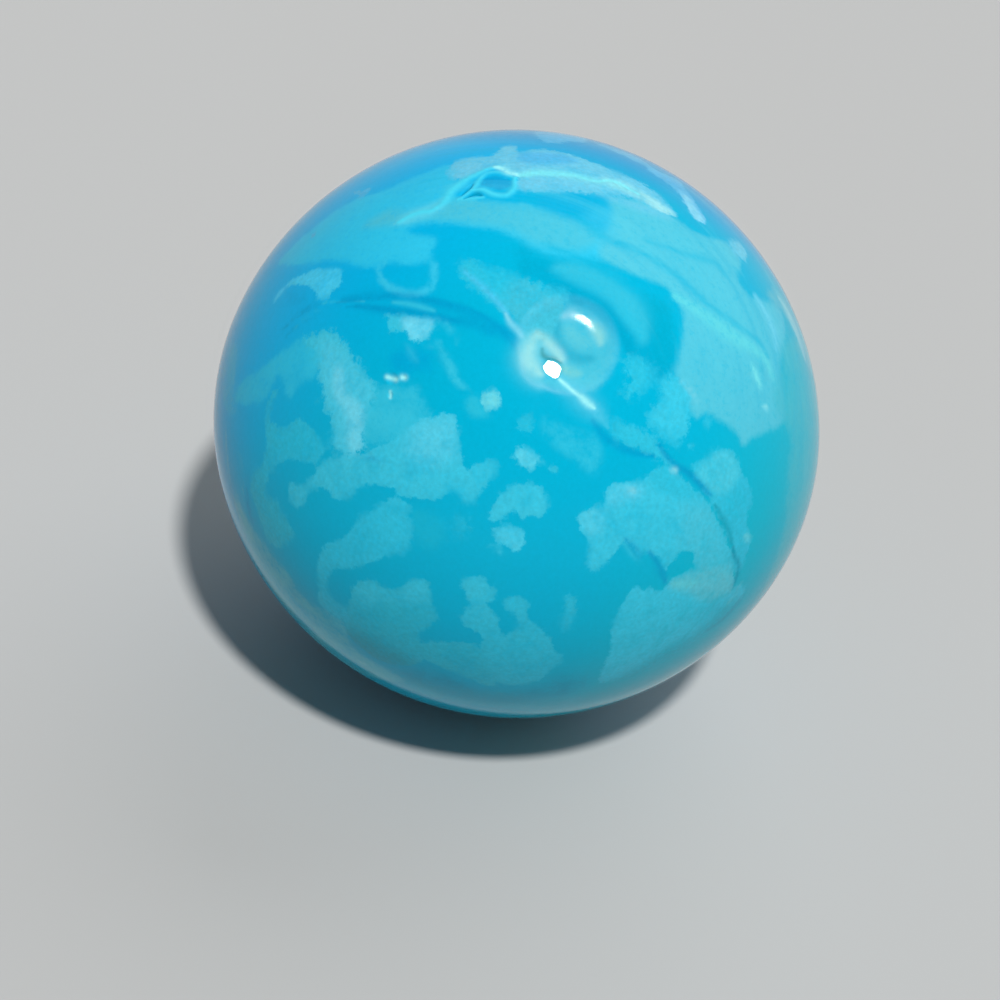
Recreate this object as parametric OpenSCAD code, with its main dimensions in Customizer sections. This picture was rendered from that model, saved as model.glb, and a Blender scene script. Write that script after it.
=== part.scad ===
// Playing marble: one solid ball of opaque swirled glass. It was sheared from a stream of soft glass and then
// rolled round, so it is a little short from pole to pole, has a fold at each pole where the shears closed, and
// has cold seams where two colours met. The dent, the pit and the chips are knocks from play.
// The origin is the centre of the ball. +Z runs along its short axis, out of the pole with the larger fold.

/* [Ball] */
// Diameter across the girdle, the widest circle of the ball
ball_d = 16; // [12:0.1:25]
// How much less the ball measures from pole to pole
short_by = 0.65; // [0:0.05:1.2]

/* [Cut-off folds] */
// Width of the fold beside the upper pole
fold_w = 0.18; // [0.08:0.01:0.26]
// Width of the small fold at the lower pole
back_fold_w = 0.12; // [0.06:0.01:0.3]

/* [Cold seams] */
// Width of the seam that crosses the face
seam_w = 0.14; // [0.06:0.01:0.2]
// Width of the two hair seams on the left of it
hair_w = 0.08; // [0.04:0.01:0.16]

/* [Knocks] */
// Width of the round dent
dent_w = 2.1; // [0.8:0.1:3]
// Depth of the dent below its own rim
dent_sink = 0.12; // [0.04:0.01:0.16]
// Width of the pit at the edge of the dent
pit_w = 0.56; // [0.3:0.02:0.8]
// Depth of the pit below its own rim
pit_sink = 0.14; // [0.04:0.01:0.2]
// Width of the largest chip
chip_w = 0.26; // [0.1:0.02:0.34]

/* [Hidden] */
$fn = 128;

GLASS = [0.0, 0.66, 0.83];

// The ball's outline is an oval of four arcs, which run into each other without a corner: a tight one round the
// girdle on each side, and a flatter one over each pole. Each girdle arc reaches this many degrees up and down.
BAND = 15;
girdle_r = ball_d / 2;
pole_r = (ball_d - short_by) / 2;
// Distance of the girdle arc's centre from the axis, and of the pole arc's centre from the girdle plane
band_x = (girdle_r - pole_r) / (1 + tan(BAND) - 1 / cos(BAND));
crown_z = band_x * tan(BAND);
band_r = girdle_r - band_x;
crown_r = pole_r + crown_z;
// The point where the two arcs meet
join_x = band_x + band_r * cos(BAND);
join_z = band_r * sin(BAND);

// Width of the ball that rounds off a crease's end, as a share of the crease's width
TIP = 0.9;
// Depth of a chip below its own rim, as a share of its width
CHIP_SINK = 0.2;

// The marks are placed by rough points in mm, and skin() carries each point along its ray to the surface, so
// they stay on the ball when its size changes. A crease is one arc: its start, a point on the way and its end.
FOLD_CREASES = [
  [[-3.7, -1.9, 6.5], [-3.1, -1.5, 6.9], [-2.8, -1.1, 7.2]],
  [[-2.7, -0.8, 7.2], [-2.1, -0.4, 7.4], [-1.3, -0.1, 7.6]],
  [[-2.5, -1.1, 7.2], [-1.8, -1.4, 7.4], [-1.2, -0.7, 7.6]],
  [[-1.0, -0.3, 7.6], [0.1, -0.4, 7.7], [1.6, 0.2, 7.5]],
];
BACK_CREASE = [[-1.6, 0.9, -7.4], [-0.4, 0.8, -7.6], [0.9, 1.3, -7.4]];
SEAM_CREASES = [
  [[-2.0, -3.5, 6.6], [-0.8, -4.5, 6.3], [0.0, -5.2, 5.9]],
  [[0.9, -5.6, 5.4], [1.7, -5.9, 5.0], [2.3, -6.2, 4.4]],
  [[2.5, -6.2, 4.2], [2.9, -6.1, 4.1], [3.4, -5.9, 3.9]],
  [[3.6, -5.9, 3.8], [4.4, -5.8, 3.2], [5.2, -5.6, 2.2]],
];
HAIR_CREASES = [
  [[-5.6, -3.5, 4.3], [-3.4, -3.9, 5.8], [-0.5, -4.9, 6.0]],
  [[-5.6, -3.8, 4.1], [-3.1, -4.4, 5.7], [-0.8, -4.7, 6.1]],
];
DENT = [1.0, -4.8, 6.0];
PIT = [0.6, -5.4, 5.6];
// Each chip's place, and its width as a share of chip_w
CHIPS = [
  [[-3.2, -5.3, 4.9], 1],
  [[-2.9, -5.5, 4.8], 0.6],
  [[-3.1, -5.6, 4.5], 0.5],
];

function unit(v) = v / norm(v);

function over_band(p) = abs(p.z) * join_x > norm([p.x, p.y]) * join_z;

// Centre of the arc that the surface follows where the ray from the ball's centre through p leaves it
function arc_centre(p) =
  over_band(p) ? [0, 0, -sign(p.z) * crown_z] : band_x * unit([p.x, p.y, 0]);

// Where the ray from the ball's centre through p leaves the ball
function skin(p) =
  let (
    u = unit(p),
    c = arc_centre(p),
    r = over_band(p) ? crown_r : band_r
  )
  (u * c + sqrt(r * r - c * c + (u * c) * (u * c))) * u;

// Outward direction of the surface at its point p
function outward(p) = unit(p - arc_centre(p));

// Centre of the circle through a, a + m and a + n
function ring_centre(a, m, n) =
  let (k = cross(m, n)) a + ((n * n) * cross(k, m) + (m * m) * cross(n, k)) / (2 * k * k);

// The ball without its marks: the oval's right half, turned about the short axis
module ball() {
  rotate_extrude() intersection() {
    union() {
      intersection() {
        translate([0, -crown_z]) circle(r = crown_r);
        translate([0, crown_z]) circle(r = crown_r);
        translate([0, -ball_d]) square([join_x, 2 * ball_d]);
      }
      translate([band_x, 0]) circle(r = band_r);
    }
    translate([0, -ball_d]) square([ball_d, 2 * ball_d]);
  }
}

// Cutter for a crease: a round bar of width w, bent along the circle through three points of the surface, so
// that the crease is half as deep as it is wide. Its ends are rounded off.
module crease(points, w) {
  a = skin(points[0]);
  b = skin(points[1]);
  c = skin(points[2]);
  centre = ring_centre(a, b - a, c - a);
  x = unit(a - centre);
  z = unit(cross(b - a, c - a));
  y = cross(z, x);
  sweep = (atan2((c - centre) * y, (c - centre) * x) + 360) % 360;
  multmatrix([
    [x.x, y.x, z.x, centre.x],
    [x.y, y.y, z.y, centre.y],
    [x.z, y.z, z.z, centre.z],
  ]) rotate_extrude(angle = sweep) translate([norm(a - centre), 0]) circle(d = w);
  for (tip = [a, c]) translate(tip) sphere(d = TIP * w);
}

// Cutter for a round hollow of width w: the cap of a sphere that reaches down below the hollow's own rim
module hollow(point, w, sink) {
  at = skin(point);
  cap_r = (w * w / 4 + sink * sink) / (2 * sink);
  crown = girdle_r - sqrt(girdle_r * girdle_r - w * w / 4);
  translate(at + (cap_r - sink - crown) * outward(at)) sphere(r = cap_r);
}

module cut_off_folds() {
  for (points = FOLD_CREASES) crease(points, fold_w);
  crease(BACK_CREASE, back_fold_w);
}

module cold_seams() {
  for (points = SEAM_CREASES) crease(points, seam_w);
  for (points = HAIR_CREASES) crease(points, hair_w);
}

module knocks() {
  hollow(DENT, dent_w, dent_sink);
  hollow(PIT, pit_w, pit_sink);
  for (chip = CHIPS) hollow(chip[0], chip[1] * chip_w, chip[1] * chip_w * CHIP_SINK);
}

module marble() {
  color(GLASS) difference() {
    ball();
    cut_off_folds();
    cold_seams();
    knocks();
  }
}

marble();
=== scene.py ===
import bmesh
import bpy
import numpy as np
from mathutils import Matrix, Vector


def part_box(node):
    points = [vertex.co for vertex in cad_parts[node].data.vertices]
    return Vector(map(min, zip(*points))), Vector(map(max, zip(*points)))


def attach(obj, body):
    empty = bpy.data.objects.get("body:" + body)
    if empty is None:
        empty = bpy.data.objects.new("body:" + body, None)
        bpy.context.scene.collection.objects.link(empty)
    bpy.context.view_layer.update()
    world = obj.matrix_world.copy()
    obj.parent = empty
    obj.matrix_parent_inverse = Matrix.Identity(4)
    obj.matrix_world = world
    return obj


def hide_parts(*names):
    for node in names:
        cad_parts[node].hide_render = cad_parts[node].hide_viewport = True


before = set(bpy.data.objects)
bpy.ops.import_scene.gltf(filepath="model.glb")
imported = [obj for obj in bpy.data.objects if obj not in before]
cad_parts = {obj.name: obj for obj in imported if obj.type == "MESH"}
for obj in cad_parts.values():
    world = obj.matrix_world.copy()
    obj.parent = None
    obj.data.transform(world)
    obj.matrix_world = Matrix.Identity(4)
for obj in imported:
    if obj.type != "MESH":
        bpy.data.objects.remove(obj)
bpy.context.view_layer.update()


# ---- The ball
# A playing marble is one solid lump of opaque glass. Shears cut it from a stream of soft glass, and rollers
# turn it round while it sets. So it is a little short from pole to pole, with a fold where the shears closed.

MM = 0.001
low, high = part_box("marble")
girdle_r = (high.x - low.x) / 2 / MM
pole_r = (high.z - low.z) / 2 / MM

# The ball is drawn on two maps, one for each side. A map's middle is the direction FRONT, or the opposite
# one. Its x and y are millimetres along the surface of a ball of MAP_R, to the right and up as seen from
# outside.
MAP_R = 8.0
TILT = np.radians(35)
RIGHT = np.array([1.0, 0.0, 0.0])
UP = np.array([0.0, np.sin(TILT), np.cos(TILT)])
FRONT = np.array([0.0, -np.cos(TILT), np.sin(TILT)])


def on_map(direction, right, up):
    """Places of the directions on the map that looks out along right x up. The distance from the map's
    middle is MAP_R times the angle between direction and outlook, and the bearing is the direction's."""
    x = direction @ right
    y = direction @ up
    angle = np.arccos(np.clip(direction @ np.cross(right, up), -1, 1))
    stretch = MAP_R * angle / np.maximum(np.hypot(x, y), 1e-9)
    return np.stack([x * stretch, y * stretch], 1)


def off_map(x, y, right, up):
    """The direction at a place on a map: it leans from the outlook towards the place's bearing by the angle
    that the place's distance from the middle makes on a ball of MAP_R."""
    reach = np.hypot(x, y)
    lean = reach / MAP_R
    bearing = (x * right + y * up) / max(reach, 1e-9)
    return np.cos(lean) * np.cross(right, up) + np.sin(lean) * bearing


def unit(v):
    return v / np.linalg.norm(v, axis=-1, keepdims=True)


SHEET_FILL = 0.98


def six_grids(n):
    """A ball of radius 1 as six square grids of n by n cells, set like the faces of a cube. With a and b from
    -45 to 45 degrees as a face's two parameters, a point is the unit vector along out + tan(a) across +
    tan(b) up. Returns the points, the cells' corners, and the points' places on a flat sheet of three by two
    squares, each of which is filled to SHEET_FILL of its width."""
    angle = np.radians(np.linspace(-45, 45, n + 1))
    b, a = np.meshgrid(angle, angle, indexing="ij")
    points, cells, sheet = [], [], []
    for face in range(6):
        axes = np.roll(np.array([RIGHT, UP, FRONT]), face // 2, 0)
        across, up, out = axes if face % 2 == 0 else (axes[1], axes[0], -axes[2])
        p = out + np.tan(a)[..., None] * across + np.tan(b)[..., None] * up
        points.append(unit(p).reshape(-1, 3))
        corner = (np.arange(n)[:, None] * (n + 1) + np.arange(n)).ravel() + face * (n + 1) ** 2
        cells.append(np.stack([corner, corner + 1, corner + n + 2, corner + n + 1], 1))
        per_turn = SHEET_FILL / np.radians(90)
        u = (face % 3 + 0.5 + a * per_turn) / 3
        v = (face // 3 + 0.5 + b * per_turn) / 2
        sheet.append(np.stack([u, v], -1).reshape(-1, 2))
    return np.concatenate(points), np.concatenate(cells), np.concatenate(sheet)


# The ball's outline is an oval of four arcs: one round each side of the girdle, BAND degrees up and down,
# and a flatter one over each pole.
BAND = np.radians(15)
band_x = (girdle_r - pole_r) / (1 + np.tan(BAND) - 1 / np.cos(BAND))
crown_z = band_x * np.tan(BAND)
band_r = girdle_r - band_x
crown_r = pole_r + crown_z


def ball_radius(direction):
    """Distance from the ball's centre to its surface along each direction: the far crossing of the ray with
    the arc that covers it, whose centre lies on the girdle plane or on the axis."""
    flat = np.hypot(direction[:, 0], direction[:, 1])
    rise = np.abs(direction[:, 2])
    over = rise * (band_x + band_r * np.cos(BAND)) > flat * band_r * np.sin(BAND)
    towards = np.where(over, -crown_z * rise, band_x * flat)
    offset = np.where(over, crown_z, band_x)
    r = np.where(over, crown_r, band_r)
    return towards + np.sqrt(r**2 - offset**2 + towards**2)


# ---- The marks in the ball's surface
# The cut-off fold, the cold seams where two gathers of glass met, and the knocks of play: a round dent, a
# pit at its edge and a few chips. Lines run through points (x, y, half-width) on the map.

CURVE_STEPS = 6


def smooth_line(points, closed):
    """A curve through the points. On the stretch from p to q, with o before and r after them, it is the cubic
    (2p + (q - o)t + (2o - 5p + 4q - r)t^2 + (3p - o - 3q + r)t^3) / 2, with t from 0 to 1."""
    p = np.array(points, float)
    ring = p if closed else np.concatenate([p[:1], p, p[-1:]])
    o, p, q, r = (np.roll(ring, k, 0) for k in (1, 0, -1, -2))
    if not closed:
        o, p, q, r = (x[1:-2] for x in (o, p, q, r))
    t = (np.arange(CURVE_STEPS) / CURVE_STEPS)[None, :, None]
    o, p, q, r = (x[:, None] for x in (o, p, q, r))
    curve = (2 * p + (q - o) * t + (2 * o - 5 * p + 4 * q - r) * t**2 + (3 * p - o - 3 * q + r) * t**3) / 2
    curve = curve.reshape(-1, ring.shape[1])
    return np.concatenate([curve, ring[:1] if closed else ring[-1:]])


def nearest(place, line):
    """For each place and each straight stretch of the line: the gap between them, and the share of the
    stretch at which they are nearest."""
    start, run = line[None, :-1, :2], np.diff(line[:, :2], axis=0)[None]
    away = place[:, None] - start
    along = np.clip((away * run).sum(2) / np.maximum((run**2).sum(2), 1e-12), 0, 1)
    return np.linalg.norm(away - along[..., None] * run, axis=2), along


def off_stroke(place, points, most=4):
    """How many half-widths each place lies from a stroke, a smooth line through (x, y, half-width), up to
    most."""
    line = smooth_line(points, False)
    reach = most * line[:, 2].max()
    off = np.full(len(place), float(most))
    near = ((place > line[:, :2].min(0) - reach) & (place < line[:, :2].max(0) + reach)).all(1)
    gap, along = nearest(place[near], line)
    width = line[:-1, 2] + along * np.diff(line[:, 2])
    off[near] = np.minimum((gap / np.maximum(width, 0.01)).min(1), most)
    return off


# The fold: the lip of glass that the shears left. It runs in from the left as a braid of thin strands, opens
# round an eye and trails off along the pale band. The two slits at the eye's foot never closed.
FOLD_LIP = [(-4.3, 5.05, 0.08), (-4.0, 5.3, 0.1), (-3.7, 5.45, 0.1), (-3.45, 5.5, 0.09), (-3.2, 5.75, 0.1),
            (-3.1, 6.0, 0.14), (-3.05, 6.3, 0.17), (-2.9, 6.6, 0.17), (-2.7, 6.9, 0.14), (-2.5, 7.1, 0.12),
            (-2.3, 7.35, 0.1), (-2.1, 7.5, 0.09), (-1.9, 7.6, 0.07)]
FOLD_STRAND = [(-2.75, 6.0, 0.05), (-2.6, 6.15, 0.06), (-2.5, 6.35, 0.07), (-2.4, 6.55, 0.08),
               (-2.35, 6.8, 0.09), (-2.3, 7.0, 0.08), (-2.2, 7.2, 0.08), (-2.0, 7.3, 0.07),
               (-1.75, 7.3, 0.06), (-1.5, 7.2, 0.05), (-1.35, 7.1, 0.04)]
FOLD_EYE = [(-2.45, 6.4, 0.05), (-2.25, 6.45, 0.08), (-2.1, 6.45, 0.09), (-1.9, 6.35, 0.1),
            (-1.75, 6.3, 0.1), (-1.55, 6.3, 0.1), (-1.4, 6.35, 0.1), (-1.3, 6.5, 0.1), (-1.25, 6.7, 0.09),
            (-1.3, 6.95, 0.08), (-1.3, 7.15, 0.06)]
FOLD_FOOT = [(-2.65, 6.0, 0.04), (-2.45, 6.05, 0.06), (-2.25, 6.1, 0.06), (-2.05, 6.15, 0.05)]
FOLD_TRAIL = [(-1.25, 7.25, 0.08), (-1.0, 7.35, 0.13), (-0.7, 7.5, 0.15), (-0.35, 7.55, 0.15),
              (0.0, 7.65, 0.13), (0.45, 7.7, 0.12), (0.85, 7.65, 0.1), (1.15, 7.65, 0.08), (1.4, 7.8, 0.08),
              (1.7, 7.85, 0.1), (2.1, 7.7, 0.08), (2.45, 7.55, 0.05)]
FOLD_SLITS = [[(-2.7, 6.2, 0.03), (-2.6, 6.4, 0.05), (-2.55, 6.5, 0.05), (-2.5, 6.65, 0.03)],
              [(-2.6, 6.05, 0.03), (-2.45, 6.2, 0.05), (-2.3, 6.3, 0.07), (-2.15, 6.25, 0.04)]]
SEAM_UPPER = [(-2.05, 3.5, 0.05), (-1.55, 3.15, 0.09), (-1.2, 2.9, 0.1), (-0.9, 2.65, 0.09),
              (-0.6, 2.45, 0.1), (-0.35, 2.25, 0.11), (-0.2, 2.1, 0.08)]
SEAM_STREAK = [(0.85, 1.25, 0.05), (1.0, 1.15, 0.06), (1.15, 1.05, 0.05), (1.35, 0.95, 0.06),
               (1.45, 0.9, 0.09), (1.6, 0.8, 0.1), (1.7, 0.75, 0.08), (1.8, 0.7, 0.03)]
SEAM_GAP = [(1.8, 0.4, 0.06), (2.1, 0.1, 0.12), (2.5, -0.1, 0.12), (3.0, -0.2, 0.1), (3.5, -0.2, 0.06)]
SEAM_LOWER = [(3.6, 0.1, 0.03), (3.9, -0.15, 0.06), (4.3, -0.35, 0.07), (4.7, -0.55, 0.08),
              (5.1, -0.8, 0.08), (5.4, -1.05, 0.05), (5.75, -1.4, 0.06), (6.1, -1.8, 0.08),
              (6.45, -2.2, 0.06), (6.7, -2.6, 0.06), (7.0, -3.0, 0.05), (7.1, -3.4, 0.03)]
HAIR_UPPER = [(-5.4, 2.4, 0.04), (-4.9, 2.5, 0.06), (-4.3, 2.6, 0.08), (-3.7, 2.75, 0.09),
              (-3.05, 2.75, 0.1), (-2.45, 2.7, 0.1), (-1.85, 2.65, 0.08), (-1.3, 2.5, 0.07),
              (-0.9, 2.3, 0.1), (-0.55, 2.15, 0.13), (-0.35, 2.0, 0.06)]
HAIR_LOWER = [(-5.05, 2.3, 0.04), (-4.55, 2.35, 0.06), (-4.05, 2.35, 0.09), (-3.45, 2.35, 0.1),
              (-2.9, 2.35, 0.1), (-2.35, 2.3, 0.09), (-1.9, 2.25, 0.05)]
PIT_CRACK = [(0.3, 1.95, 0.05), (0.35, 1.8, 0.08), (0.5, 1.75, 0.08), (0.65, 1.75, 0.07), (0.8, 1.7, 0.05)]
# The small fold at the lower pole, on the map of the far side
BACK_FOLD = [(1.6, -6.7, 0.05), (1.0, -6.9, 0.1), (0.4, -6.9, 0.1), (-0.3, -6.7, 0.1), (-0.9, -6.3, 0.05)]

# How far each line stands up from the ball, or is sunk below it
RELIEF = [(FOLD_LIP, 0.018), (FOLD_STRAND, 0.012), (FOLD_EYE, 0.018), (FOLD_FOOT, 0.012),
          (FOLD_TRAIL, -0.012), (FOLD_SLITS[0], -0.05), (FOLD_SLITS[1], -0.05), (SEAM_UPPER, -0.004),
          (SEAM_STREAK, -0.006), (SEAM_GAP, -0.006), (SEAM_LOWER, -0.004), (HAIR_UPPER, -0.003),
          (HAIR_LOWER, -0.003), (PIT_CRACK, -0.008)]
BACK_RELIEF = [(BACK_FOLD, -0.04)]

# Each chip: its place on the map, its width, its depth below its own rim and the softness of that rim
CHIPS = [((-3.25, 0.58), 0.3, 0.04, 0.01), ((-2.95, 0.65), 0.16, 0.025, 0.01),
         ((-3.22, 0.17), 0.16, 0.02, 0.01)]
# The dent: its place on the map, its half-width, its depth, how flat its floor is and how soft its rim is
DENT = (0.93, 2.22)
DENT_R = 1.15
DENT_SINK = 0.165
DENT_FLATNESS = 3.2
DENT_SOFT = 0.045
# The pit is a flake knocked out: its floor is flat, faces its own way and lies at this depth below the ball.
PIT = [(0.36, 1.48), (0.4, 1.38), (0.48, 1.3), (0.58, 1.26), (0.68, 1.22), (0.78, 1.24), (0.84, 1.32),
       (0.88, 1.44), (0.88, 1.58), (0.76, 1.68), (0.64, 1.72), (0.48, 1.72), (0.4, 1.62)]
PIT_PLACE = (0.62, 1.48)
PIT_FACES = (0.58, 1.79)
PIT_SINK = 0.09
PIT_SOFT = 0.04


def soft_step(value, half_width):
    """0 below -half_width, 1 above half_width, and 3t^2 - 2t^3 between them."""
    t = np.clip((value + half_width) / (2 * half_width), 0, 1)
    return t * t * (3 - 2 * t)


OUTLINE_REACH = 1.0


def depth_inside(place, outline):
    """How far inside a closed smooth outline each place lies, in mm. Outside, it is below 0, down to
    -OUTLINE_REACH. The size is the gap to the nearest stretch, and the sign comes from how many stretches a
    line to the right crosses."""
    line = smooth_line(outline, True)
    depth = np.full(len(place), -OUTLINE_REACH)
    near = ((place > line.min(0) - OUTLINE_REACH) & (place < line.max(0) + OUTLINE_REACH)).all(1)
    x, y = place[near].T[..., None]
    gap = nearest(place[near], line)[0].min(1)
    (x0, y0), (x1, y1) = line[:-1].T, line[1:].T
    slope = (x1 - x0) / np.where(y1 == y0, 1, y1 - y0)
    crossed = ((y0 > y) != (y1 > y)) & (x < x0 + (y - y0) * slope)
    depth[near] = np.maximum(np.where(crossed.sum(1) % 2, gap, -gap), -OUTLINE_REACH)
    return depth


def hollowed(radius, direction, place, width, sink, softness):
    """The radius after a ball-shaped hollow is taken out: a sphere whose cap reaches down by sink below a rim
    of that width. Rays that meet the sphere before the surface stop at it. Where the two meet at nearly the
    same radius, within softness s, the corner is rounded off by (s - difference)^2 / 4s."""
    middle = off_map(*place, RIGHT, UP)
    ball_r = (width**2 / 4 + sink**2) / (2 * sink)
    bulge = girdle_r - np.sqrt(girdle_r**2 - width**2 / 4)
    reach = ball_radius(middle[None])[0] + ball_r - sink - bulge
    towards = direction @ middle * reach
    inside = towards**2 - reach**2 + ball_r**2
    meets = np.where((inside > 0) & (towards > 0), towards - np.sqrt(np.maximum(inside, 0)), 2 * girdle_r)
    corner = np.maximum(softness - np.abs(radius - meets), 0)
    return np.minimum(radius, meets) - corner**2 / (4 * softness)


def surface(direction):
    """The marble's surface along each direction: the oval, less the chips, less the dent, which sinks by
    1 - (gap / half-width)^DENT_FLATNESS of its depth and has a rounded rim, and less or plus the lines. In
    the pit, the ray stops at the plane of the pit's floor instead."""
    radius = ball_radius(direction)
    for place, width, sink, softness in CHIPS:
        radius = hollowed(radius, direction, place, width, sink, softness)
    gap = np.arccos(np.clip(direction @ off_map(*DENT, RIGHT, UP), -1, 1)) * MAP_R
    deep = DENT_SINK * (1 - (gap / DENT_R) ** DENT_FLATNESS)
    rounded = (deep + DENT_SOFT) ** 2 / (4 * DENT_SOFT)
    radius -= np.where(np.abs(deep) < DENT_SOFT, rounded, np.maximum(deep, 0))
    for right, relief in ((RIGHT, RELIEF), (-RIGHT, BACK_RELIEF)):
        side = direction @ np.cross(right, UP) > 0
        place = on_map(direction[side], right, UP)
        for points, height in relief:
            radius[side] += height * np.exp(-(off_stroke(place, points) ** 2))
    axis = off_map(*PIT_FACES, RIGHT, UP)
    near = direction @ axis > np.cos(np.radians(8))
    pit_floor = (ball_radius(axis[None])[0] - PIT_SINK) / (direction[near] @ axis)
    cover = soft_step(depth_inside(on_map(direction[near], RIGHT, UP), PIT), PIT_SOFT)
    radius[near] += cover * (pit_floor - radius[near])
    return np.clip(direction * radius[:, None] * MM, low, high)


# The mesh: cells along a grid's side, small enough where there is no mark. Then the longest edges in mm
# outside the marks, in the lines and at the least in the knocks. A line's part of fine mesh reaches
# LINE_REACH half-widths to each side, and HALVINGS is how often an edge may be halved.
CELLS = 96
COARSE = 1.0
FINE = 0.05
FINEST = 0.02
LINE_REACH = 2.5
HALVINGS = 6


def longest_edge(direction):
    """The longest edge that the mesh may have at each direction, in mm: FINE in the lines, a twentieth of
    its width in a knock and a little past its rim, and COARSE away from them."""
    edge = np.full(len(direction), COARSE)
    for right, relief in ((RIGHT, RELIEF), (-RIGHT, BACK_RELIEF)):
        side = direction @ np.cross(right, UP) > 0
        place = on_map(direction[side], right, UP)
        for points, height in relief:
            in_line = off_stroke(place, points) < LINE_REACH
            edge[side] = np.minimum(edge[side], np.where(in_line, FINE, COARSE))
    for place, width in [chip[:2] for chip in CHIPS] + [(PIT_PLACE, 0.5), (DENT, 2 * DENT_R)]:
        gap = np.arccos(np.clip(direction @ off_map(*place, RIGHT, UP), -1, 1)) * MAP_R
        edge = np.where(gap < 0.65 * width + 0.1, np.minimum(edge, max(width / 20, FINEST)), edge)
    return edge


points, cells, sheet = six_grids(CELLS)
mesh = bpy.data.meshes.new("glass_ball")
mesh.from_pydata(points, [], cells)
flat_sheet = mesh.uv_layers.new(name="OFBake")
flat_sheet.uv.foreach_set("vector", sheet[cells.ravel()].ravel().astype(np.float32))


def mesh_array(items, name, width, kind=np.float32):
    """The numbers that the items keep under this name, width of them to a row."""
    found = np.empty(len(items) * width, kind)
    items.foreach_get(name, found)
    return found.reshape(-1, width)


# The grids' shared borders are joined, and edges are halved until each is as short as its place asks.
work = bmesh.new()
work.from_mesh(mesh)
bmesh.ops.remove_doubles(work, verts=work.verts, dist=1e-5)
bmesh.ops.triangulate(work, faces=work.faces[:])
for halving in range(HALVINGS):
    work.to_mesh(mesh)
    direction = unit(mesh_array(mesh.vertices, "co", 3).astype(float))
    ends = mesh_array(mesh.edges, "vertices", 2, np.int32)
    length = np.linalg.norm(direction[ends[:, 0]] - direction[ends[:, 1]], axis=1) * MAP_R
    halved = length > longest_edge(unit(direction[ends].mean(1)))
    if not halved.any():
        break
    work.edges.ensure_lookup_table()
    bmesh.ops.subdivide_edges(work, edges=[work.edges[k] for k in np.flatnonzero(halved)], cuts=1)
    bmesh.ops.triangulate(work, faces=[f for f in work.faces if len(f.verts) > 3])
work.to_mesh(mesh)
work.free()
direction = unit(mesh_array(mesh.vertices, "co", 3).astype(float))
mesh.vertices.foreach_set("co", surface(direction).ravel().astype(np.float32))
mesh.polygons.foreach_set("use_smooth", np.ones(len(mesh.polygons), bool))
mesh.update()

# ---- The colours in the glass
# Turquoise glass with paler glass folded into it. The paler glass shows as patches with crisp, ragged edges
# where it was cut across, and as soft veils and wisps where it was drawn out round the fold. Some layers are
# painted light and shade instead: painted highlights, glints, glows and reflections on the fold, about the
# pit, the dent and the streak and on the rims, and painted shade at the top rim, along the bottom, in the
# dent and in the crack above the pit.


def tint(red, green, blue):
    """A screen colour of 0 to 255 a channel, as the linear colour that it stands for."""
    c = np.array([red, green, blue]) / 255
    return np.where(c < 0.04045, c / 12.92, ((c + 0.055) / 1.055) ** 2.4)


TURQUOISE = tint(1, 184, 222)
SEA = tint(3, 188, 214)
AZURE = tint(2, 186, 242)
# Deep blue; the ground's band of it towards the top rim is painted shade
COBALT = tint(4, 164, 220)
SNOW = tint(112, 222, 248)
MILK = tint(90, 213, 240)
PALE = tint(60, 204, 233)
DIM = tint(44, 196, 226)
LOW = tint(46, 194, 222)
# Pale grey-teal: frosty glass on the skirt, and the painted sheen along the lower-left rim
FROST_AND_SHEEN = tint(94, 203, 222)
CROWN = tint(114, 206, 236)
SKY = tint(84, 190, 238)
ICE = tint(146, 224, 238)
BRIGHT = tint(164, 248, 253)
LIP = tint(78, 224, 250)
SHADE = tint(0, 150, 204)
SLIT = tint(0, 152, 190)
CLEAR = tint(56, 204, 244)

# The patches' outlines on the map
BOOT = [(-6.25, 1.3), (-5.85, 1.4), (-5.5, 1.6), (-5.15, 1.55), (-4.75, 1.25), (-4.5, 1.0), (-4.2, 0.85),
        (-4.0, 0.6), (-3.7, 0.35), (-3.6, 0.15), (-3.65, -0.15), (-3.75, -0.5), (-3.75, -0.85),
        (-3.65, -1.25), (-3.95, -1.5), (-4.35, -1.5), (-4.55, -1.4), (-4.6, -0.95), (-4.75, -0.7),
        (-5.05, -0.35), (-5.2, 0.0), (-5.4, 0.35), (-5.6, 0.75), (-5.85, 1.05)]
SAIL = [(-3.6, -1.35), (-3.2, -1.1), (-2.9, -0.9), (-2.7, -0.65), (-2.5, -0.45), (-2.3, -0.3),
        (-2.05, -0.2), (-1.8, -0.05), (-1.55, -0.05), (-1.4, -0.2), (-1.35, -0.5), (-1.2, -0.9),
        (-1.1, -1.2), (-0.95, -1.25), (-0.75, -1.1), (-0.5, -0.95), (-0.3, -1.0), (-0.25, -1.15),
        (-0.4, -1.45), (-0.6, -1.75), (-0.7, -2.05), (-0.9, -2.1), (-1.1, -1.9), (-1.3, -1.85),
        (-1.5, -2.05), (-1.8, -2.15), (-2.15, -2.2), (-2.45, -2.2), (-2.75, -2.1), (-3.05, -2.05),
        (-3.4, -2.15), (-3.7, -2.3), (-3.75, -2.5), (-4.05, -2.65), (-4.35, -2.7), (-4.45, -2.55),
        (-4.8, -2.55), (-5.05, -2.65), (-5.2, -2.9), (-5.35, -3.2), (-5.55, -3.3), (-5.75, -3.1),
        (-5.85, -2.85), (-5.75, -2.6), (-5.5, -2.65), (-5.3, -2.55), (-5.05, -2.25), (-4.9, -1.95),
        (-4.65, -1.75), (-4.25, -1.55), (-3.95, -1.5)]
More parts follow.
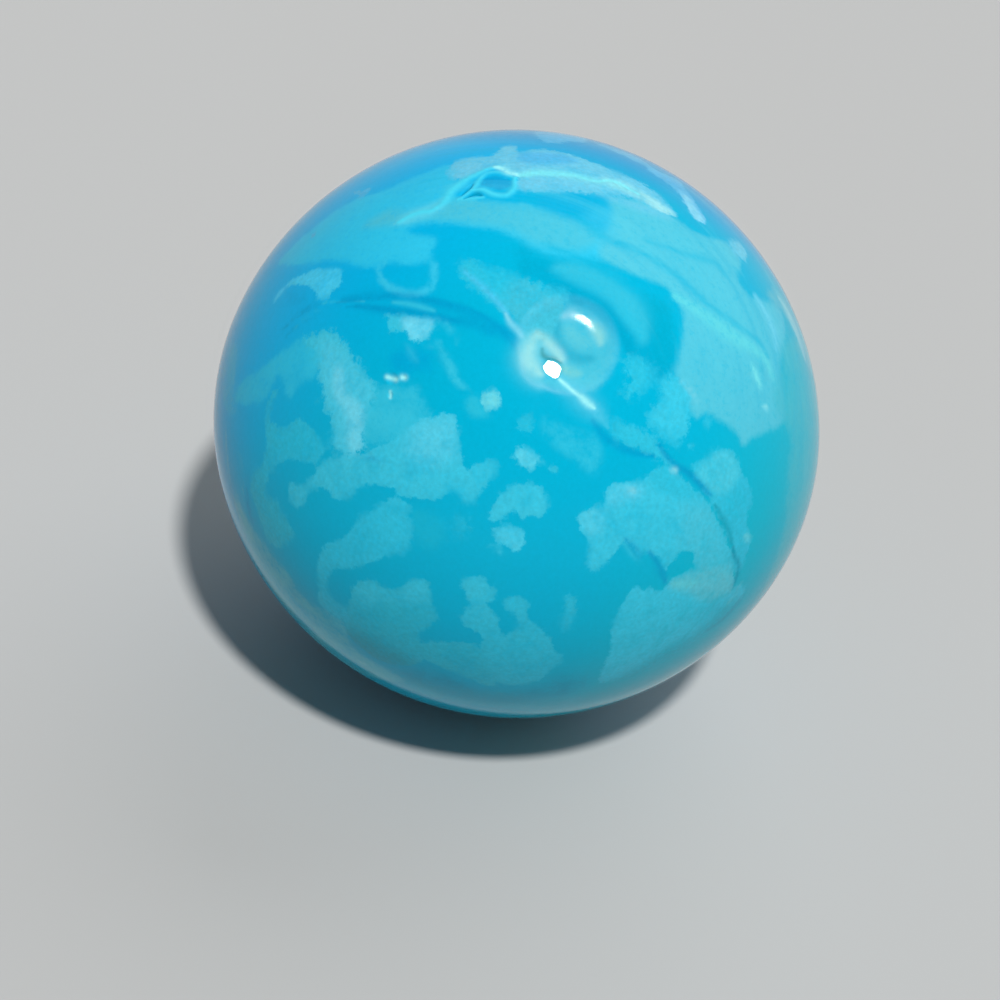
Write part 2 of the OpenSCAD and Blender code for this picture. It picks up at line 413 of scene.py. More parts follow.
SADDLE = [(-6.65, -0.15), (-6.8, -0.45), (-6.9, -0.75), (-6.85, -1.05), (-6.6, -1.2), (-6.25, -1.2),
          (-6.0, -1.05), (-5.8, -0.85), (-5.55, -0.9), (-5.2, -1.1), (-4.95, -1.3), (-4.8, -1.5),
          (-4.9, -1.8), (-5.2, -1.95), (-5.65, -1.95), (-6.15, -2.1), (-6.4, -2.35), (-6.65, -2.6),
          (-6.7, -2.9), (-6.9, -3.15), (-7.15, -3.15), (-7.15, -2.8), (-6.95, -2.3), (-6.85, -1.85),
          (-6.95, -1.4), (-7.05, -1.0), (-7.05, -0.6), (-6.85, -0.25)]
LEFT_LEG = [(-7.05, -2.5), (-6.75, -2.8), (-6.8, -3.15), (-6.55, -3.3), (-6.2, -3.3), (-6.05, -3.6),
            (-5.85, -3.75), (-5.65, -4.0), (-5.6, -4.2), (-5.85, -4.45), (-6.2, -4.75), (-6.6, -4.8),
            (-6.9, -4.6), (-7.05, -4.2), (-7.2, -3.8), (-7.45, -3.45), (-7.4, -2.9)]
TONGUE = [(-2.7, -2.3), (-2.4, -2.3), (-2.2, -2.45), (-2.25, -2.7), (-2.1, -2.85), (-2.1, -3.2),
          (-2.1, -3.5), (-2.25, -3.7), (-2.65, -3.85), (-2.85, -4.0), (-3.2, -4.25), (-3.6, -4.5),
          (-4.05, -4.65), (-4.35, -4.95), (-4.45, -5.35), (-4.4, -5.65), (-4.15, -5.85), (-3.8, -6.0),
          (-3.7, -6.3), (-4.15, -6.55), (-4.55, -6.35), (-4.85, -6.15), (-4.75, -5.65), (-4.75, -5.25),
          (-4.75, -4.8), (-4.6, -4.3), (-4.4, -4.0), (-4.0, -3.75), (-3.75, -3.45), (-3.6, -3.15),
          (-3.45, -2.95), (-3.2, -2.8), (-3.0, -2.55)]
KEEL = [(-3.85, -6.1), (-3.7, -5.55), (-3.6, -5.1), (-3.35, -4.8), (-2.95, -4.7), (-2.55, -4.8),
        (-2.25, -4.7), (-2.05, -4.45), (-1.8, -4.3), (-1.5, -4.35), (-1.4, -4.6), (-1.35, -4.95),
        (-1.15, -5.35), (-1.3, -5.6), (-1.45, -5.9), (-1.6, -5.9), (-1.65, -6.1), (-1.55, -6.35),
        (-1.1, -6.2), (-0.6, -6.05), (-0.15, -6.0), (0.25, -6.2), (0.65, -6.5), (0.75, -7.1), (0.65, -7.75),
        (0.2, -7.65), (-0.35, -7.4), (-0.9, -7.25), (-1.4, -7.1), (-1.85, -7.55), (-2.35, -7.8),
        (-2.95, -7.8), (-3.6, -7.45), (-3.95, -6.85)]
HOOK = [(-0.65, -4.2), (-0.6, -4.0), (-0.4, -3.9), (-0.15, -3.85), (-0.05, -4.0), (0.2, -4.15),
        (0.2, -4.45), (0.05, -4.55), (0.2, -4.8), (0.35, -4.95), (0.5, -5.35), (0.65, -5.5), (0.8, -5.35),
        (0.95, -5.05), (0.8, -4.8), (0.6, -4.7), (0.45, -4.5), (0.55, -4.35), (0.8, -4.25), (1.0, -4.3),
        (1.1, -4.55), (1.1, -4.8), (1.3, -4.95), (1.6, -5.15), (1.85, -5.4), (2.05, -5.8), (2.3, -6.0),
        (2.35, -6.3), (2.15, -6.55), (2.05, -6.9), (1.8, -7.25), (1.3, -7.55), (0.7, -7.5), (0.3, -7.1),
        (0.05, -6.55), (0.05, -6.1), (0.1, -5.75), (-0.1, -5.55), (-0.35, -5.45), (-0.55, -5.25),
        (-0.5, -4.95), (-0.35, -4.7), (-0.5, -4.45)]
SLIVER = [(2.0, -4.0), (2.2, -4.1), (2.3, -4.4), (2.3, -5.0), (2.1, -5.0), (2.0, -4.4)]
DROP = [(0.2, -0.5), (0.4, -0.55), (0.65, -0.7), (0.65, -0.85), (0.5, -1.0), (0.3, -0.95), (0.1, -0.82),
        (0.1, -0.65)]
ISLAND = [(0.6, -1.33), (0.8, -1.4), (1.0, -1.55), (1.05, -1.75), (1.05, -1.95), (0.95, -2.1), (0.75, -2.1),
          (0.55, -2.2), (0.35, -2.05), (0.2, -2.1), (0.05, -2.25), (-0.1, -2.4), (-0.25, -2.35),
          (-0.3, -2.2), (-0.2, -1.95), (-0.1, -1.75), (0.05, -1.55), (0.3, -1.38)]
PEBBLE = [(-0.15, -2.7), (0.05, -2.5), (0.3, -2.45), (0.6, -2.5), (0.7, -2.75), (0.65, -3.0), (0.5, -3.1),
          (0.3, -2.95), (0.05, -2.9)]
RIBBON = [(2.25, 0.5), (2.5, 0.5), (2.85, 0.4), (3.15, 0.35), (3.45, 0.25), (3.7, 0.0), (4.0, -0.25),
          (3.9, -0.4), (3.6, -0.25), (3.3, -0.15), (2.95, -0.1), (2.55, 0.0), (2.3, 0.2)]
SHARD = [(3.35, 1.7), (3.65, 1.85), (4.05, 1.75), (4.25, 1.45), (4.3, 1.05), (4.35, 0.75), (4.25, 0.4),
         (4.0, 0.2), (3.75, 0.25), (3.5, 0.45), (3.25, 0.55), (3.15, 0.75), (3.3, 1.0), (3.45, 1.3)]
BLUR = [(2.65, 2.2), (2.9, 2.15), (3.05, 1.95), (3.2, 1.9), (3.15, 1.65), (3.0, 1.45), (2.8, 1.25),
        (2.55, 1.15), (2.4, 1.3), (2.55, 1.55), (2.5, 1.85), (2.4, 2.05)]
WING = [(4.6, -0.3), (4.75, -0.15), (4.95, -0.1), (5.1, 0.1), (5.35, 0.25), (5.65, 0.35), (5.95, 0.2),
        (6.15, 0.0), (6.35, -0.25), (6.65, -0.55), (6.85, -0.9), (6.85, -1.25), (6.8, -1.5), (7.05, -1.85),
        (7.25, -2.25), (7.2, -2.65), (7.2, -3.05), (6.95, -3.05), (6.6, -2.45), (6.15, -1.9), (5.75, -1.5),
        (5.45, -1.15), (5.2, -0.9), (4.85, -0.65)]
CLOUD = [(1.85, -2.05), (1.9, -1.85), (2.1, -1.7), (2.3, -1.6), (2.4, -1.7), (2.45, -1.45), (2.4, -1.25),
         (2.55, -1.05), (2.8, -0.95), (3.15, -0.9), (3.35, -0.8), (3.5, -0.6), (3.75, -0.4), (4.1, -0.45),
         (4.45, -0.65), (4.9, -0.9), (5.25, -1.1), (5.6, -1.45), (5.95, -1.8), (6.3, -2.25), (6.6, -2.65),
         (6.15, -2.65), (5.7, -2.7), (5.35, -2.6), (5.1, -2.5), (4.8, -2.55), (4.6, -2.8), (4.5, -3.05),
         (4.25, -2.8), (4.0, -2.7), (3.75, -2.6), (3.65, -2.75), (3.45, -2.55), (3.2, -2.4), (3.1, -2.5),
         (2.95, -2.8), (2.8, -3.0), (2.6, -3.25), (2.4, -3.25), (2.3, -3.0), (2.3, -2.7), (2.15, -2.4),
         (1.95, -2.25)]
SKIRT = [(3.5, -4.2), (3.6, -3.8), (3.75, -3.6), (4.05, -3.65), (4.2, -3.6), (4.45, -3.7), (4.65, -3.6),
         (4.75, -3.35), (5.0, -3.2), (5.3, -3.05), (5.75, -3.0), (6.25, -2.9), (6.7, -2.95), (7.05, -3.35),
         (7.2, -3.75), (7.4, -3.55), (7.8, -3.85), (7.75, -4.4), (7.35, -4.9), (6.9, -5.35), (6.4, -5.9),
         (5.85, -6.35), (5.2, -6.8), (4.5, -7.2), (3.8, -7.25), (3.65, -6.25), (3.65, -5.7), (3.45, -5.05),
         (3.45, -4.55)]
NECK = [(5.25, -2.5), (5.75, -2.3), (6.3, -2.3), (6.7, -2.6), (6.85, -2.95), (6.55, -3.1), (6.0, -3.15),
        (5.6, -3.1), (5.3, -2.8)]
LENS = [(-2.15, 3.9), (-1.9, 4.0), (-1.5, 3.85), (-1.1, 3.8), (-0.7, 3.75), (-0.25, 3.65), (0.2, 3.55),
        (0.65, 3.5), (0.6, 2.8), (0.4, 2.25), (0.0, 2.15), (-0.35, 2.35), (-0.65, 2.6), (-1.0, 2.85),
        (-1.4, 3.05), (-1.75, 3.25), (-2.05, 3.45)]
PENNANT = [(-5.7, 3.45), (-5.5, 3.2), (-5.5, 2.95), (-5.65, 2.75), (-5.75, 2.55), (-6.0, 2.45),
           (-6.15, 2.55), (-6.35, 2.75), (-6.65, 2.9), (-7.05, 2.95), (-7.5, 2.95), (-7.65, 3.1),
           (-7.25, 3.2), (-6.9, 3.35), (-6.45, 3.45), (-6.0, 3.45)]
TOOTH = [(-3.8, 2.2), (-3.4, 2.25), (-2.9, 2.25), (-2.5, 2.25), (-2.45, 2.0), (-2.55, 1.75), (-2.75, 1.6),
         (-3.0, 1.6), (-3.2, 1.85), (-3.35, 1.8), (-3.55, 1.75), (-3.7, 1.95)]
CROWN_BAND = [(-3.45, 7.35), (-3.35, 7.75), (-3.1, 8.0), (-2.65, 8.1), (-2.25, 8.2), (-2.1, 8.55),
              (-2.0, 8.95), (-1.6, 8.95), (-1.4, 8.6), (-0.8, 8.9), (-0.15, 8.95), (0.4, 8.85), (0.9, 8.7),
              (1.45, 8.55), (2.0, 8.4), (2.6, 8.25), (3.05, 7.95), (3.45, 7.55), (3.7, 7.2), (3.4, 7.05),
              (2.8, 7.15), (2.1, 7.25), (1.25, 7.05), (0.4, 6.9), (-0.4, 6.7), (-1.1, 6.65), (-1.3, 7.25),
              (-1.85, 7.55), (-2.25, 7.4), (-2.65, 7.0), (-2.95, 6.85), (-3.3, 7.0)]
RIM_FLAKE = [(-1.0, 10.0), (-0.7, 9.6), (-0.3, 9.7), (0.1, 10.1), (0.6, 10.4), (0.7, 11.2), (0.0, 11.8),
             (-1.2, 11.0)]
RIM_STRIP = [(1.0, 10.7), (1.7, 10.2), (2.4, 9.9), (2.9, 9.7), (3.0, 9.3), (3.5, 9.0), (3.9, 8.6),
             (4.1, 8.2), (4.2, 7.8), (4.4, 7.4), (4.7, 7.3), (4.9, 7.6), (4.8, 8.1), (4.6, 8.6), (4.4, 9.2),
             (4.3, 9.8), (3.6, 9.7), (3.2, 9.9), (2.7, 10.5), (1.6, 10.7)]
RIGHT_FLAKE = [(5.75, 7.1), (6.25, 7.4), (6.6, 7.3), (6.65, 6.9), (6.4, 6.55), (6.0, 6.5), (5.8, 6.7)]
LEFT_FLAKE = [(-6.6, 6.7), (-6.3, 6.6), (-6.0, 6.7), (-6.0, 6.4), (-6.1, 6.2), (-6.4, 6.4)]


def dot(x, y, r, stretch=1.0):
    """Eight points round an upright oval of half-width r."""
    turn = np.arange(8) * np.pi / 4
    return np.stack([x + r * np.cos(turn), y + r * stretch * np.sin(turn)], 1)


# Each patch with its colour and how soft its edge is
PATCHES = [(BOOT, PALE, 1.8), (SAIL, PALE, 1), (SADDLE, tint(40, 198, 230), 1), (LEFT_LEG, LOW, 1.2),
           (TONGUE, tint(48, 202, 234), 1), (KEEL, LOW, 1), (HOOK, tint(50, 200, 230), 1),
           (SLIVER, DIM, 1.5), (DROP, tint(98, 220, 244), 1), (ISLAND, PALE, 1),
           (PEBBLE, tint(78, 214, 243), 1), (RIBBON, DIM, 1.6), (SHARD, PALE, 1.8), (BLUR, DIM, 2.5),
           (WING, DIM, 1.3), (CLOUD, PALE, 1), (NECK, tint(66, 202, 228), 1),
           (SKIRT, tint(58, 206, 236), 1), (LENS, DIM, 1.6), (PENNANT, tint(72, 214, 254), 1),
           (TOOTH, PALE, 1.2), (CROWN_BAND, CROWN, 1.4), (RIM_FLAKE, SKY, 1.5), (RIM_STRIP, SKY, 1.3),
           (RIGHT_FLAKE, tint(110, 207, 234), 1.6), (LEFT_FLAKE, SKY, 1.3),
           (dot(-0.7, 0.45, 0.24), tint(113, 222, 236), 1), (dot(0.22, 0.04, 0.17, 1.2), DIM, 1.3),
           (dot(1.07, -0.89, 0.08), DIM, 1), (dot(4.9, 0.9, 0.1, 1.7), PALE, 1),
           (dot(4.5, 0.2, 0.07), PALE, 1), (dot(-0.9, -2.7, 0.2), tint(20, 188, 222), 2.5),
           (dot(-7.4, 4.8, 0.1), SKY, 1)]


def moved(outline, right, up, size, turn):
    """The outline grown to size times its own, turned by turn degrees, with its middle at (right, up)."""
    points = np.array(outline) - np.mean(outline, 0)
    cos, sin = np.cos(np.radians(turn)), np.sin(np.radians(turn))
    return size * points @ np.array([[cos, sin], [-sin, cos]]) + (right, up)


# Patches on the sides, which show from the left and the right only
SIDE_PATCHES = [(moved(CLOUD, 13.9, -1.2, 1.1, 70), LOW, 1), (moved(SAIL, 12.2, -6.9, 1.2, 30), DIM, 1.2),
                (moved(ISLAND, 13.4, 4.4, 1.8, 0), LOW, 1.2), (moved(TONGUE, 8.2, -11.2, 1.3, 50), DIM, 1),
                (moved(SAIL, -13.8, -1.0, 1.3, 100), CLEAR, 1),
                (moved(ISLAND, -11.8, -7.5, 2.0, 40), CLEAR, 1.2),
                (moved(TONGUE, -12.8, 5.2, 1.2, -50), CLEAR, 1.2),
                (moved(DROP, -12.6, 1.9, 2.0, 0), CLEAR, 1),
                (moved(PEBBLE, 12.7, 1.6, 1.4, 20), DIM, 1), (moved(DROP, 10.2, -8.4, 2.0, 60), DIM, 1)]

# Glows: brighter or cloudier glass inside the patches, and one painted shade, as marked. Outline, softness of
# its edge, colour, strength
GLOWS = [
    ([(-5.6, 1.15), (-5.25, 1.35), (-4.7, 1.05), (-4.05, 0.55), (-3.65, 0.15), (-3.8, -0.45),
      (-3.65, -1.3), (-4.45, -1.5), (-4.55, -0.8), (-5.1, -0.15)], 0.4, tint(84, 212, 240), 0.8),
    ([(-4.9, 0.65), (-4.65, 0.55), (-4.45, 0.05), (-4.05, -0.15), (-3.75, -0.45), (-3.75, -0.95),
      (-3.7, -1.35), (-4.0, -1.4), (-4.15, -1.1), (-4.2, -0.75), (-4.4, -0.4), (-4.7, -0.15),
      (-4.9, 0.25)], 0.12, tint(116, 224, 248), 0.8),
    ([(-2.45, -0.45), (-1.85, -0.15), (-1.45, -0.15), (-1.3, -0.6), (-1.3, -0.95), (-1.65, -1.25),
      (-2.0, -1.4), (-2.35, -1.3), (-2.6, -1.0)], 0.35, MILK, 0.8),
    ([(-3.35, 2.15), (-2.9, 2.25), (-2.5, 2.25), (-2.5, 1.95), (-2.6, 1.7), (-2.9, 1.6), (-3.15, 1.75)],
      0.08, SNOW, 1),
    ([(-0.6, -4.0), (-0.3, -3.9), (0.0, -3.9), (0.2, -4.5), (0.3, -5.0), (-0.6, -5.0)], 0.3, PALE, 0.7),
    ([(-3.65, -5.35), (-3.35, -4.85), (-2.95, -4.75), (-2.55, -4.85), (-2.25, -4.75), (-2.0, -4.45),
      (-1.5, -4.35), (-1.4, -4.8), (-1.85, -5.1), (-2.6, -5.25), (-3.3, -5.7)], 0.2, PALE, 0.8),
    # Painted shade: a darker band low down, under the keel
    ([(-4.65, -6.85), (-3.75, -6.75), (-3.0, -6.85), (-2.3, -7.05), (-1.6, -7.4), (-0.85, -7.65),
      (-1.55, -8.85), (-2.75, -8.65), (-3.95, -8.15), (-4.85, -7.8)], 0.4, tint(22, 148, 170), 0.4),
    ([(-0.6, 3.7), (0.3, 3.4), (0.9, 3.0), (0.6, 2.2), (0.0, 2.0), (-0.8, 2.8)], 0.3, tint(66, 192, 218),
      0.9),
    ([(2.45, -1.45), (2.55, -1.1), (2.85, -0.95), (3.3, -0.9), (3.35, -1.25), (2.95, -1.45), (2.6, -1.6)],
      0.15, MILK, 0.8),
    ([(1.85, -2.05), (1.95, -1.85), (2.25, -1.6), (2.5, -1.8), (2.55, -2.2), (2.3, -2.4), (2.05, -2.25)],
      0.15, MILK, 0.6),
    ([(3.5, -0.65), (3.8, -0.4), (4.35, -0.65), (4.95, -0.95), (4.75, -1.2), (4.15, -1.1), (3.7, -1.0)],
      0.15, DIM, 0.8),
    ([(4.6, -1.4), (5.4, -1.2), (6.0, -2.2), (5.6, -2.9), (4.8, -2.4)], 0.4, tint(76, 201, 226), 0.7),
    ([(4.7, -3.5), (5.2, -3.1), (5.95, -2.95), (6.75, -3.0), (7.2, -3.65), (6.8, -3.95), (6.1, -4.0),
      (5.35, -3.7)], 0.2, FROST_AND_SHEEN, 0.9),
    ([(4.8, -0.35), (5.1, 0.1), (5.65, 0.25), (6.05, 0.05), (6.2, -0.35), (5.8, -0.85), (5.35, -0.85),
      (4.95, -0.6)], 0.15, tint(78, 208, 232), 0.9),
    ([(7.5, -4.1), (6.95, -4.25), (6.7, -4.75), (6.4, -5.25), (5.9, -5.55), (5.45, -5.8), (5.1, -6.2),
      (4.7, -6.7), (3.95, -7.6), (6.5, -8.8), (7.85, -7.1), (9.05, -5.3), (8.45, -4.15)], 0.35, tint(2,
      182, 208), 0.8),
    ([(1.3, 7.9), (1.9, 8.0), (2.5, 7.8), (3.1, 7.5), (3.7, 7.1), (3.3, 6.9), (2.7, 7.2), (2.1, 7.4),
      (1.5, 7.6)], 0.15, ICE, 1),
    ([(2.6, 7.6), (3.1, 7.5), (3.7, 7.1), (3.3, 6.9), (2.8, 7.2)], 0.15, tint(160, 230, 240), 1),
    ([(-1.4, 8.5), (-0.8, 8.7), (-0.1, 8.8), (0.5, 8.6), (0.2, 8.3), (-0.6, 8.0), (-1.3, 8.0)], 0.15, SKY,
      0.9),
    ([(4.15, 8.7), (4.45, 8.5), (4.6, 8.05), (4.85, 7.55), (4.6, 7.25), (4.25, 7.5), (4.1, 7.9)], 0.2,
      tint(146, 224, 248), 0.85)]

# Veils: soft layers of paler glass over the turquoise, some of them painted light and shade, as marked below.
# Outline, softness of its edge, colour, strength
VEILS = [
    ([(-0.73, 4.62), (-0.04, 4.5), (0.77, 4.36), (1.5, 4.29), (2.24, 3.94), (2.84, 3.45), (3.5, 2.9),
      (3.7, 2.2), (3.4, 1.7), (2.74, 2.0), (2.26, 2.27), (1.93, 2.79), (1.35, 3.26), (0.58, 3.27),
      (0.1, 3.56), (-0.57, 3.73)], 0.3, tint(0, 172, 210), 0.75),
    ([(-8.4, 4.4), (-7.3, 5.5), (-6.5, 6.1), (-5.6, 6.35), (-4.9, 6.65), (-4.2, 7.2), (-3.6, 7.6),
      (-3.1, 7.2), (-3.0, 6.4), (-2.6, 6.0), (-1.2, 6.0), (0.2, 6.0), (1.0, 5.7), (1.5, 5.4), (1.4, 4.7),
      (0.4, 4.5), (-0.3, 4.6), (-1.2, 5.0), (-2.4, 5.1), (-2.85, 5.1), (-3.5, 5.0), (-3.9, 4.75),
      (-3.4, 4.6), (-3.0, 4.5), (-3.0, 4.1), (-3.1, 3.8), (-3.65, 3.7), (-4.25, 3.7), (-4.55, 3.5),
      (-5.0, 3.5), (-5.6, 3.7), (-6.2, 3.75), (-6.95, 3.65), (-7.8, 3.7), (-8.65, 3.85)], 0.2, tint(50,
      205, 243), 0.85),
    ([(-5.4, 4.9), (-5.0, 5.4), (-4.5, 5.6), (-4.0, 5.4), (-3.2, 5.8), (-2.6, 6.0), (-1.0, 6.0),
      (0.4, 6.0), (1.4, 5.5), (0.8, 4.8), (-0.4, 4.8), (-1.2, 5.1), (-3.3, 5.2), (-4.4, 5.0)], 0.25,
      tint(80, 198, 222), 0.8),
    ([(-4.35, 5.0), (-4.1, 5.3), (-3.8, 5.5), (-3.3, 5.8), (-3.1, 5.6), (-3.6, 5.2), (-4.0, 5.0)], 0.12,
      MILK, 0.8),
    ([(1.5, 6.9), (2.4, 7.2), (3.4, 7.1), (3.9, 6.9), (4.4, 6.7), (5.0, 6.8), (5.6, 6.9), (6.1, 6.4),
      (6.0, 5.9), (5.9, 5.5), (6.4, 5.1), (7.0, 5.2), (7.5, 5.3), (8.0, 5.2), (8.1, 4.6), (7.8, 3.8),
      (7.6, 3.0), (7.8, 2.2), (7.9, 1.6), (7.3, 1.1), (6.6, 0.8), (6.2, 0.5), (5.9, 0.8), (5.3, 1.0),
      (4.8, 1.2), (4.5, 1.0), (3.8, 1.9), (3.85, 2.35), (3.9, 2.9), (3.9, 3.55), (3.75, 4.05), (3.45, 4.3),
      (2.2, 4.5), (1.4, 4.8), (1.4, 5.4), (1.5, 6.0)], 0.15, tint(86, 202, 226), 0.9),
    # Painted rim reflection: a pale grey-teal band down the right rim
    ([(7.3, 2.0), (7.9, 1.35), (8.3, 0.95), (8.35, 0.1), (8.55, -1.0), (8.9, -2.2), (9.0, -3.5),
      (9.6, -4.8), (9.9, -3.2), (10.9, -2.6), (10.3, -1.2), (11.6, -0.4), (10.9, 1.1), (11.9, 2.6),
      (10.2, 3.4), (9.0, 4.5), (8.0, 4.0), (7.6, 3.0)], 0.3, tint(66, 192, 212), 0.7),
    # Painted reflection: a whitish-grey sheen high on the right rim
    ([(7.4, 5.4), (8.6, 5.1), (9.3, 4.5), (9.9, 3.6), (10.6, 4.2), (9.6, 5.6), (8.6, 6.2), (7.6, 6.0)],
      0.25, tint(100, 196, 216), 0.7),
    ([(-1.2, 6.8), (0.0, 6.9), (1.5, 7.1), (2.8, 7.1), (3.5, 6.9), (2.6, 6.8), (1.5, 6.9), (0.4, 6.8),
      (-0.6, 6.7)], 0.2, CROWN, 0.7),
    ([(-0.4, 6.6), (0.3, 6.9), (1.1, 7.0), (1.5, 6.8), (1.6, 6.2), (1.4, 5.7), (0.6, 5.8), (-0.5, 6.1)],
      0.2, tint(10, 181, 227), 1),
    ([(0.75, 5.8), (0.95, 6.2), (1.45, 6.6), (1.75, 6.0), (1.7, 5.4), (1.2, 5.4)], 0.3, tint(60, 200, 236),
      0.5),
    ([(-5.3, 1.6), (-5.95, 1.4), (-6.4, 1.3), (-6.75, 1.05), (-7.2, 0.65), (-7.7, 0.3), (-8.3, -0.05),
      (-8.75, -0.4), (-8.8, -0.85), (-8.0, -0.85), (-7.4, -0.7), (-7.1, -0.4), (-6.95, -0.05), (-6.8, 0.2),
      (-6.6, 0.0), (-6.4, -0.3), (-6.15, -0.35), (-6.0, -0.05), (-5.8, 0.15), (-5.5, 0.3), (-5.4, 0.75),
      (-5.35, 1.2)], 0.15, tint(50, 204, 238), 0.7),
    ([(-3.8, 0.3), (-3.4, 0.4), (-3.0, 0.4), (-2.6, 0.5), (-2.3, 0.1), (-2.0, -0.1), (-2.2, -0.6),
      (-2.8, -1.0), (-3.7, -1.2), (-3.8, -0.6)], 0.2, PALE, 0.7),
    ([(0.2, 4.1), (1.4, 3.9), (2.3, 3.5), (2.7, 2.8), (2.3, 2.9), (1.7, 3.5), (0.8, 3.8)], 0.15, PALE, 0.4),
    # Frosted glass with a painted glow: the lamp's blurred highlight as a pale halo round the dent and the
    # pit
    ([(0.05, 2.7), (0.35, 2.95), (0.75, 3.15), (1.15, 3.15), (1.5, 3.0), (1.85, 2.75), (2.1, 2.35),
      (2.15, 1.95), (2.0, 1.5), (1.7, 1.15), (1.25, 1.0), (0.85, 0.95), (0.35, 1.0), (-0.05, 1.25),
      (-0.25, 1.65), (-0.3, 2.1), (-0.15, 2.45)], 0.2, tint(80, 200, 224), 0.75),
    ([(-5.0, 6.5), (-4.2, 7.1), (-3.5, 7.4), (-3.0, 6.9), (-3.4, 6.3), (-3.9, 5.7), (-4.5, 5.4)], 0.25,
      tint(52, 200, 240), 0.6),
    ([(0.6, 0.3), (1.0, 0.2), (1.5, 0.15), (2.0, 0.05), (2.15, -0.35), (2.15, -0.85), (1.75, -0.8),
      (1.3, -0.55), (0.95, -0.35), (0.6, -0.1)], 0.2, PALE, 0.42),
    ([(-2.1, -2.5), (-1.4, -2.6), (-1.3, -3.2), (-1.6, -3.5), (-2.0, -3.2)], 0.15, tint(24, 190, 222), 0.6),
    ([(-3.0, 1.5), (-2.4, 1.5), (-2.2, 1.0), (-2.6, 0.7), (-3.4, 0.9)], 0.3, tint(0, 172, 222), 0.7),
    ([(-4.0, -8.3), (-2.0, -8.3), (0.0, -8.2), (2.0, -8.0), (3.5, -8.2), (3.0, -9.0), (0.0, -9.4),
      (-3.0, -9.2)], 0.3, LOW, 0.6),
    # Painted reflection: a pale grey-teal sheen along the lower-left rim
    ([(-8.4, -3.65), (-7.85, -4.4), (-7.35, -4.75), (-6.85, -4.95), (-6.45, -5.3), (-5.95, -5.65),
      (-5.6, -6.15), (-5.1, -6.4), (-4.4, -6.35), (-3.9, -6.6), (-3.85, -7.5), (-3.2, -8.05), (-2.2, -8.7),
      (-4.35, -10.0), (-5.8, -9.7), (-6.75, -8.15), (-7.8, -6.8), (-8.4, -5.35), (-8.6, -4.2)], 0.2, FROST_AND_SHEEN,
      0.55),
    ([(-10.45, 1.1), (-9.3, 0.85), (-9.0, 0.0), (-8.85, -0.75), (-8.45, -1.1), (-8.85, -1.35),
      (-9.6, -1.05), (-10.3, 0.0)], 0.2, tint(70, 196, 232), 0.5),
    # Painted shade: a darker band along the bottom rim
    ([(-2.2, -8.4), (-1.55, -7.5), (-0.8, -7.6), (0.0, -8.0), (0.9, -8.1), (1.75, -7.7), (2.25, -7.0),
      (2.75, -6.75), (3.5, -7.1), (3.2, -7.85), (2.2, -8.4), (1.05, -8.85), (-0.55, -8.95), (-1.6, -8.7)],
      0.35, tint(0, 160, 196), 0.4),
    ([(-7.5, 2.8), (-7.0, 2.85), (-6.5, 2.75), (-6.1, 2.4), (-6.1, 2.15), (-6.55, 2.05), (-7.1, 2.2),
      (-7.5, 2.5)], 0.25, SHADE, 0.2),
    ([(2.6, 3.95), (3.15, 3.9), (3.5, 3.55), (3.65, 2.7), (3.55, 2.1), (3.15, 2.2), (2.95, 2.7),
      (2.65, 3.3)], 0.25, tint(0, 174, 208), 0.7),
    ([(-1.3, 0.4), (-1.0, 0.5), (-0.8, 0.25), (-0.7, 0.05), (-1.0, 0.0), (-1.25, 0.15)], 0.15, DIM, 0.8),
    ([(-2.25, 6.7), (-2.2, 6.95), (-1.95, 7.1), (-1.65, 7.1), (-1.4, 7.0), (-1.3, 6.85), (-1.45, 6.65),
      (-1.65, 6.5), (-1.9, 6.55), (-2.1, 6.6)], 0.08, COBALT, 0.9)]
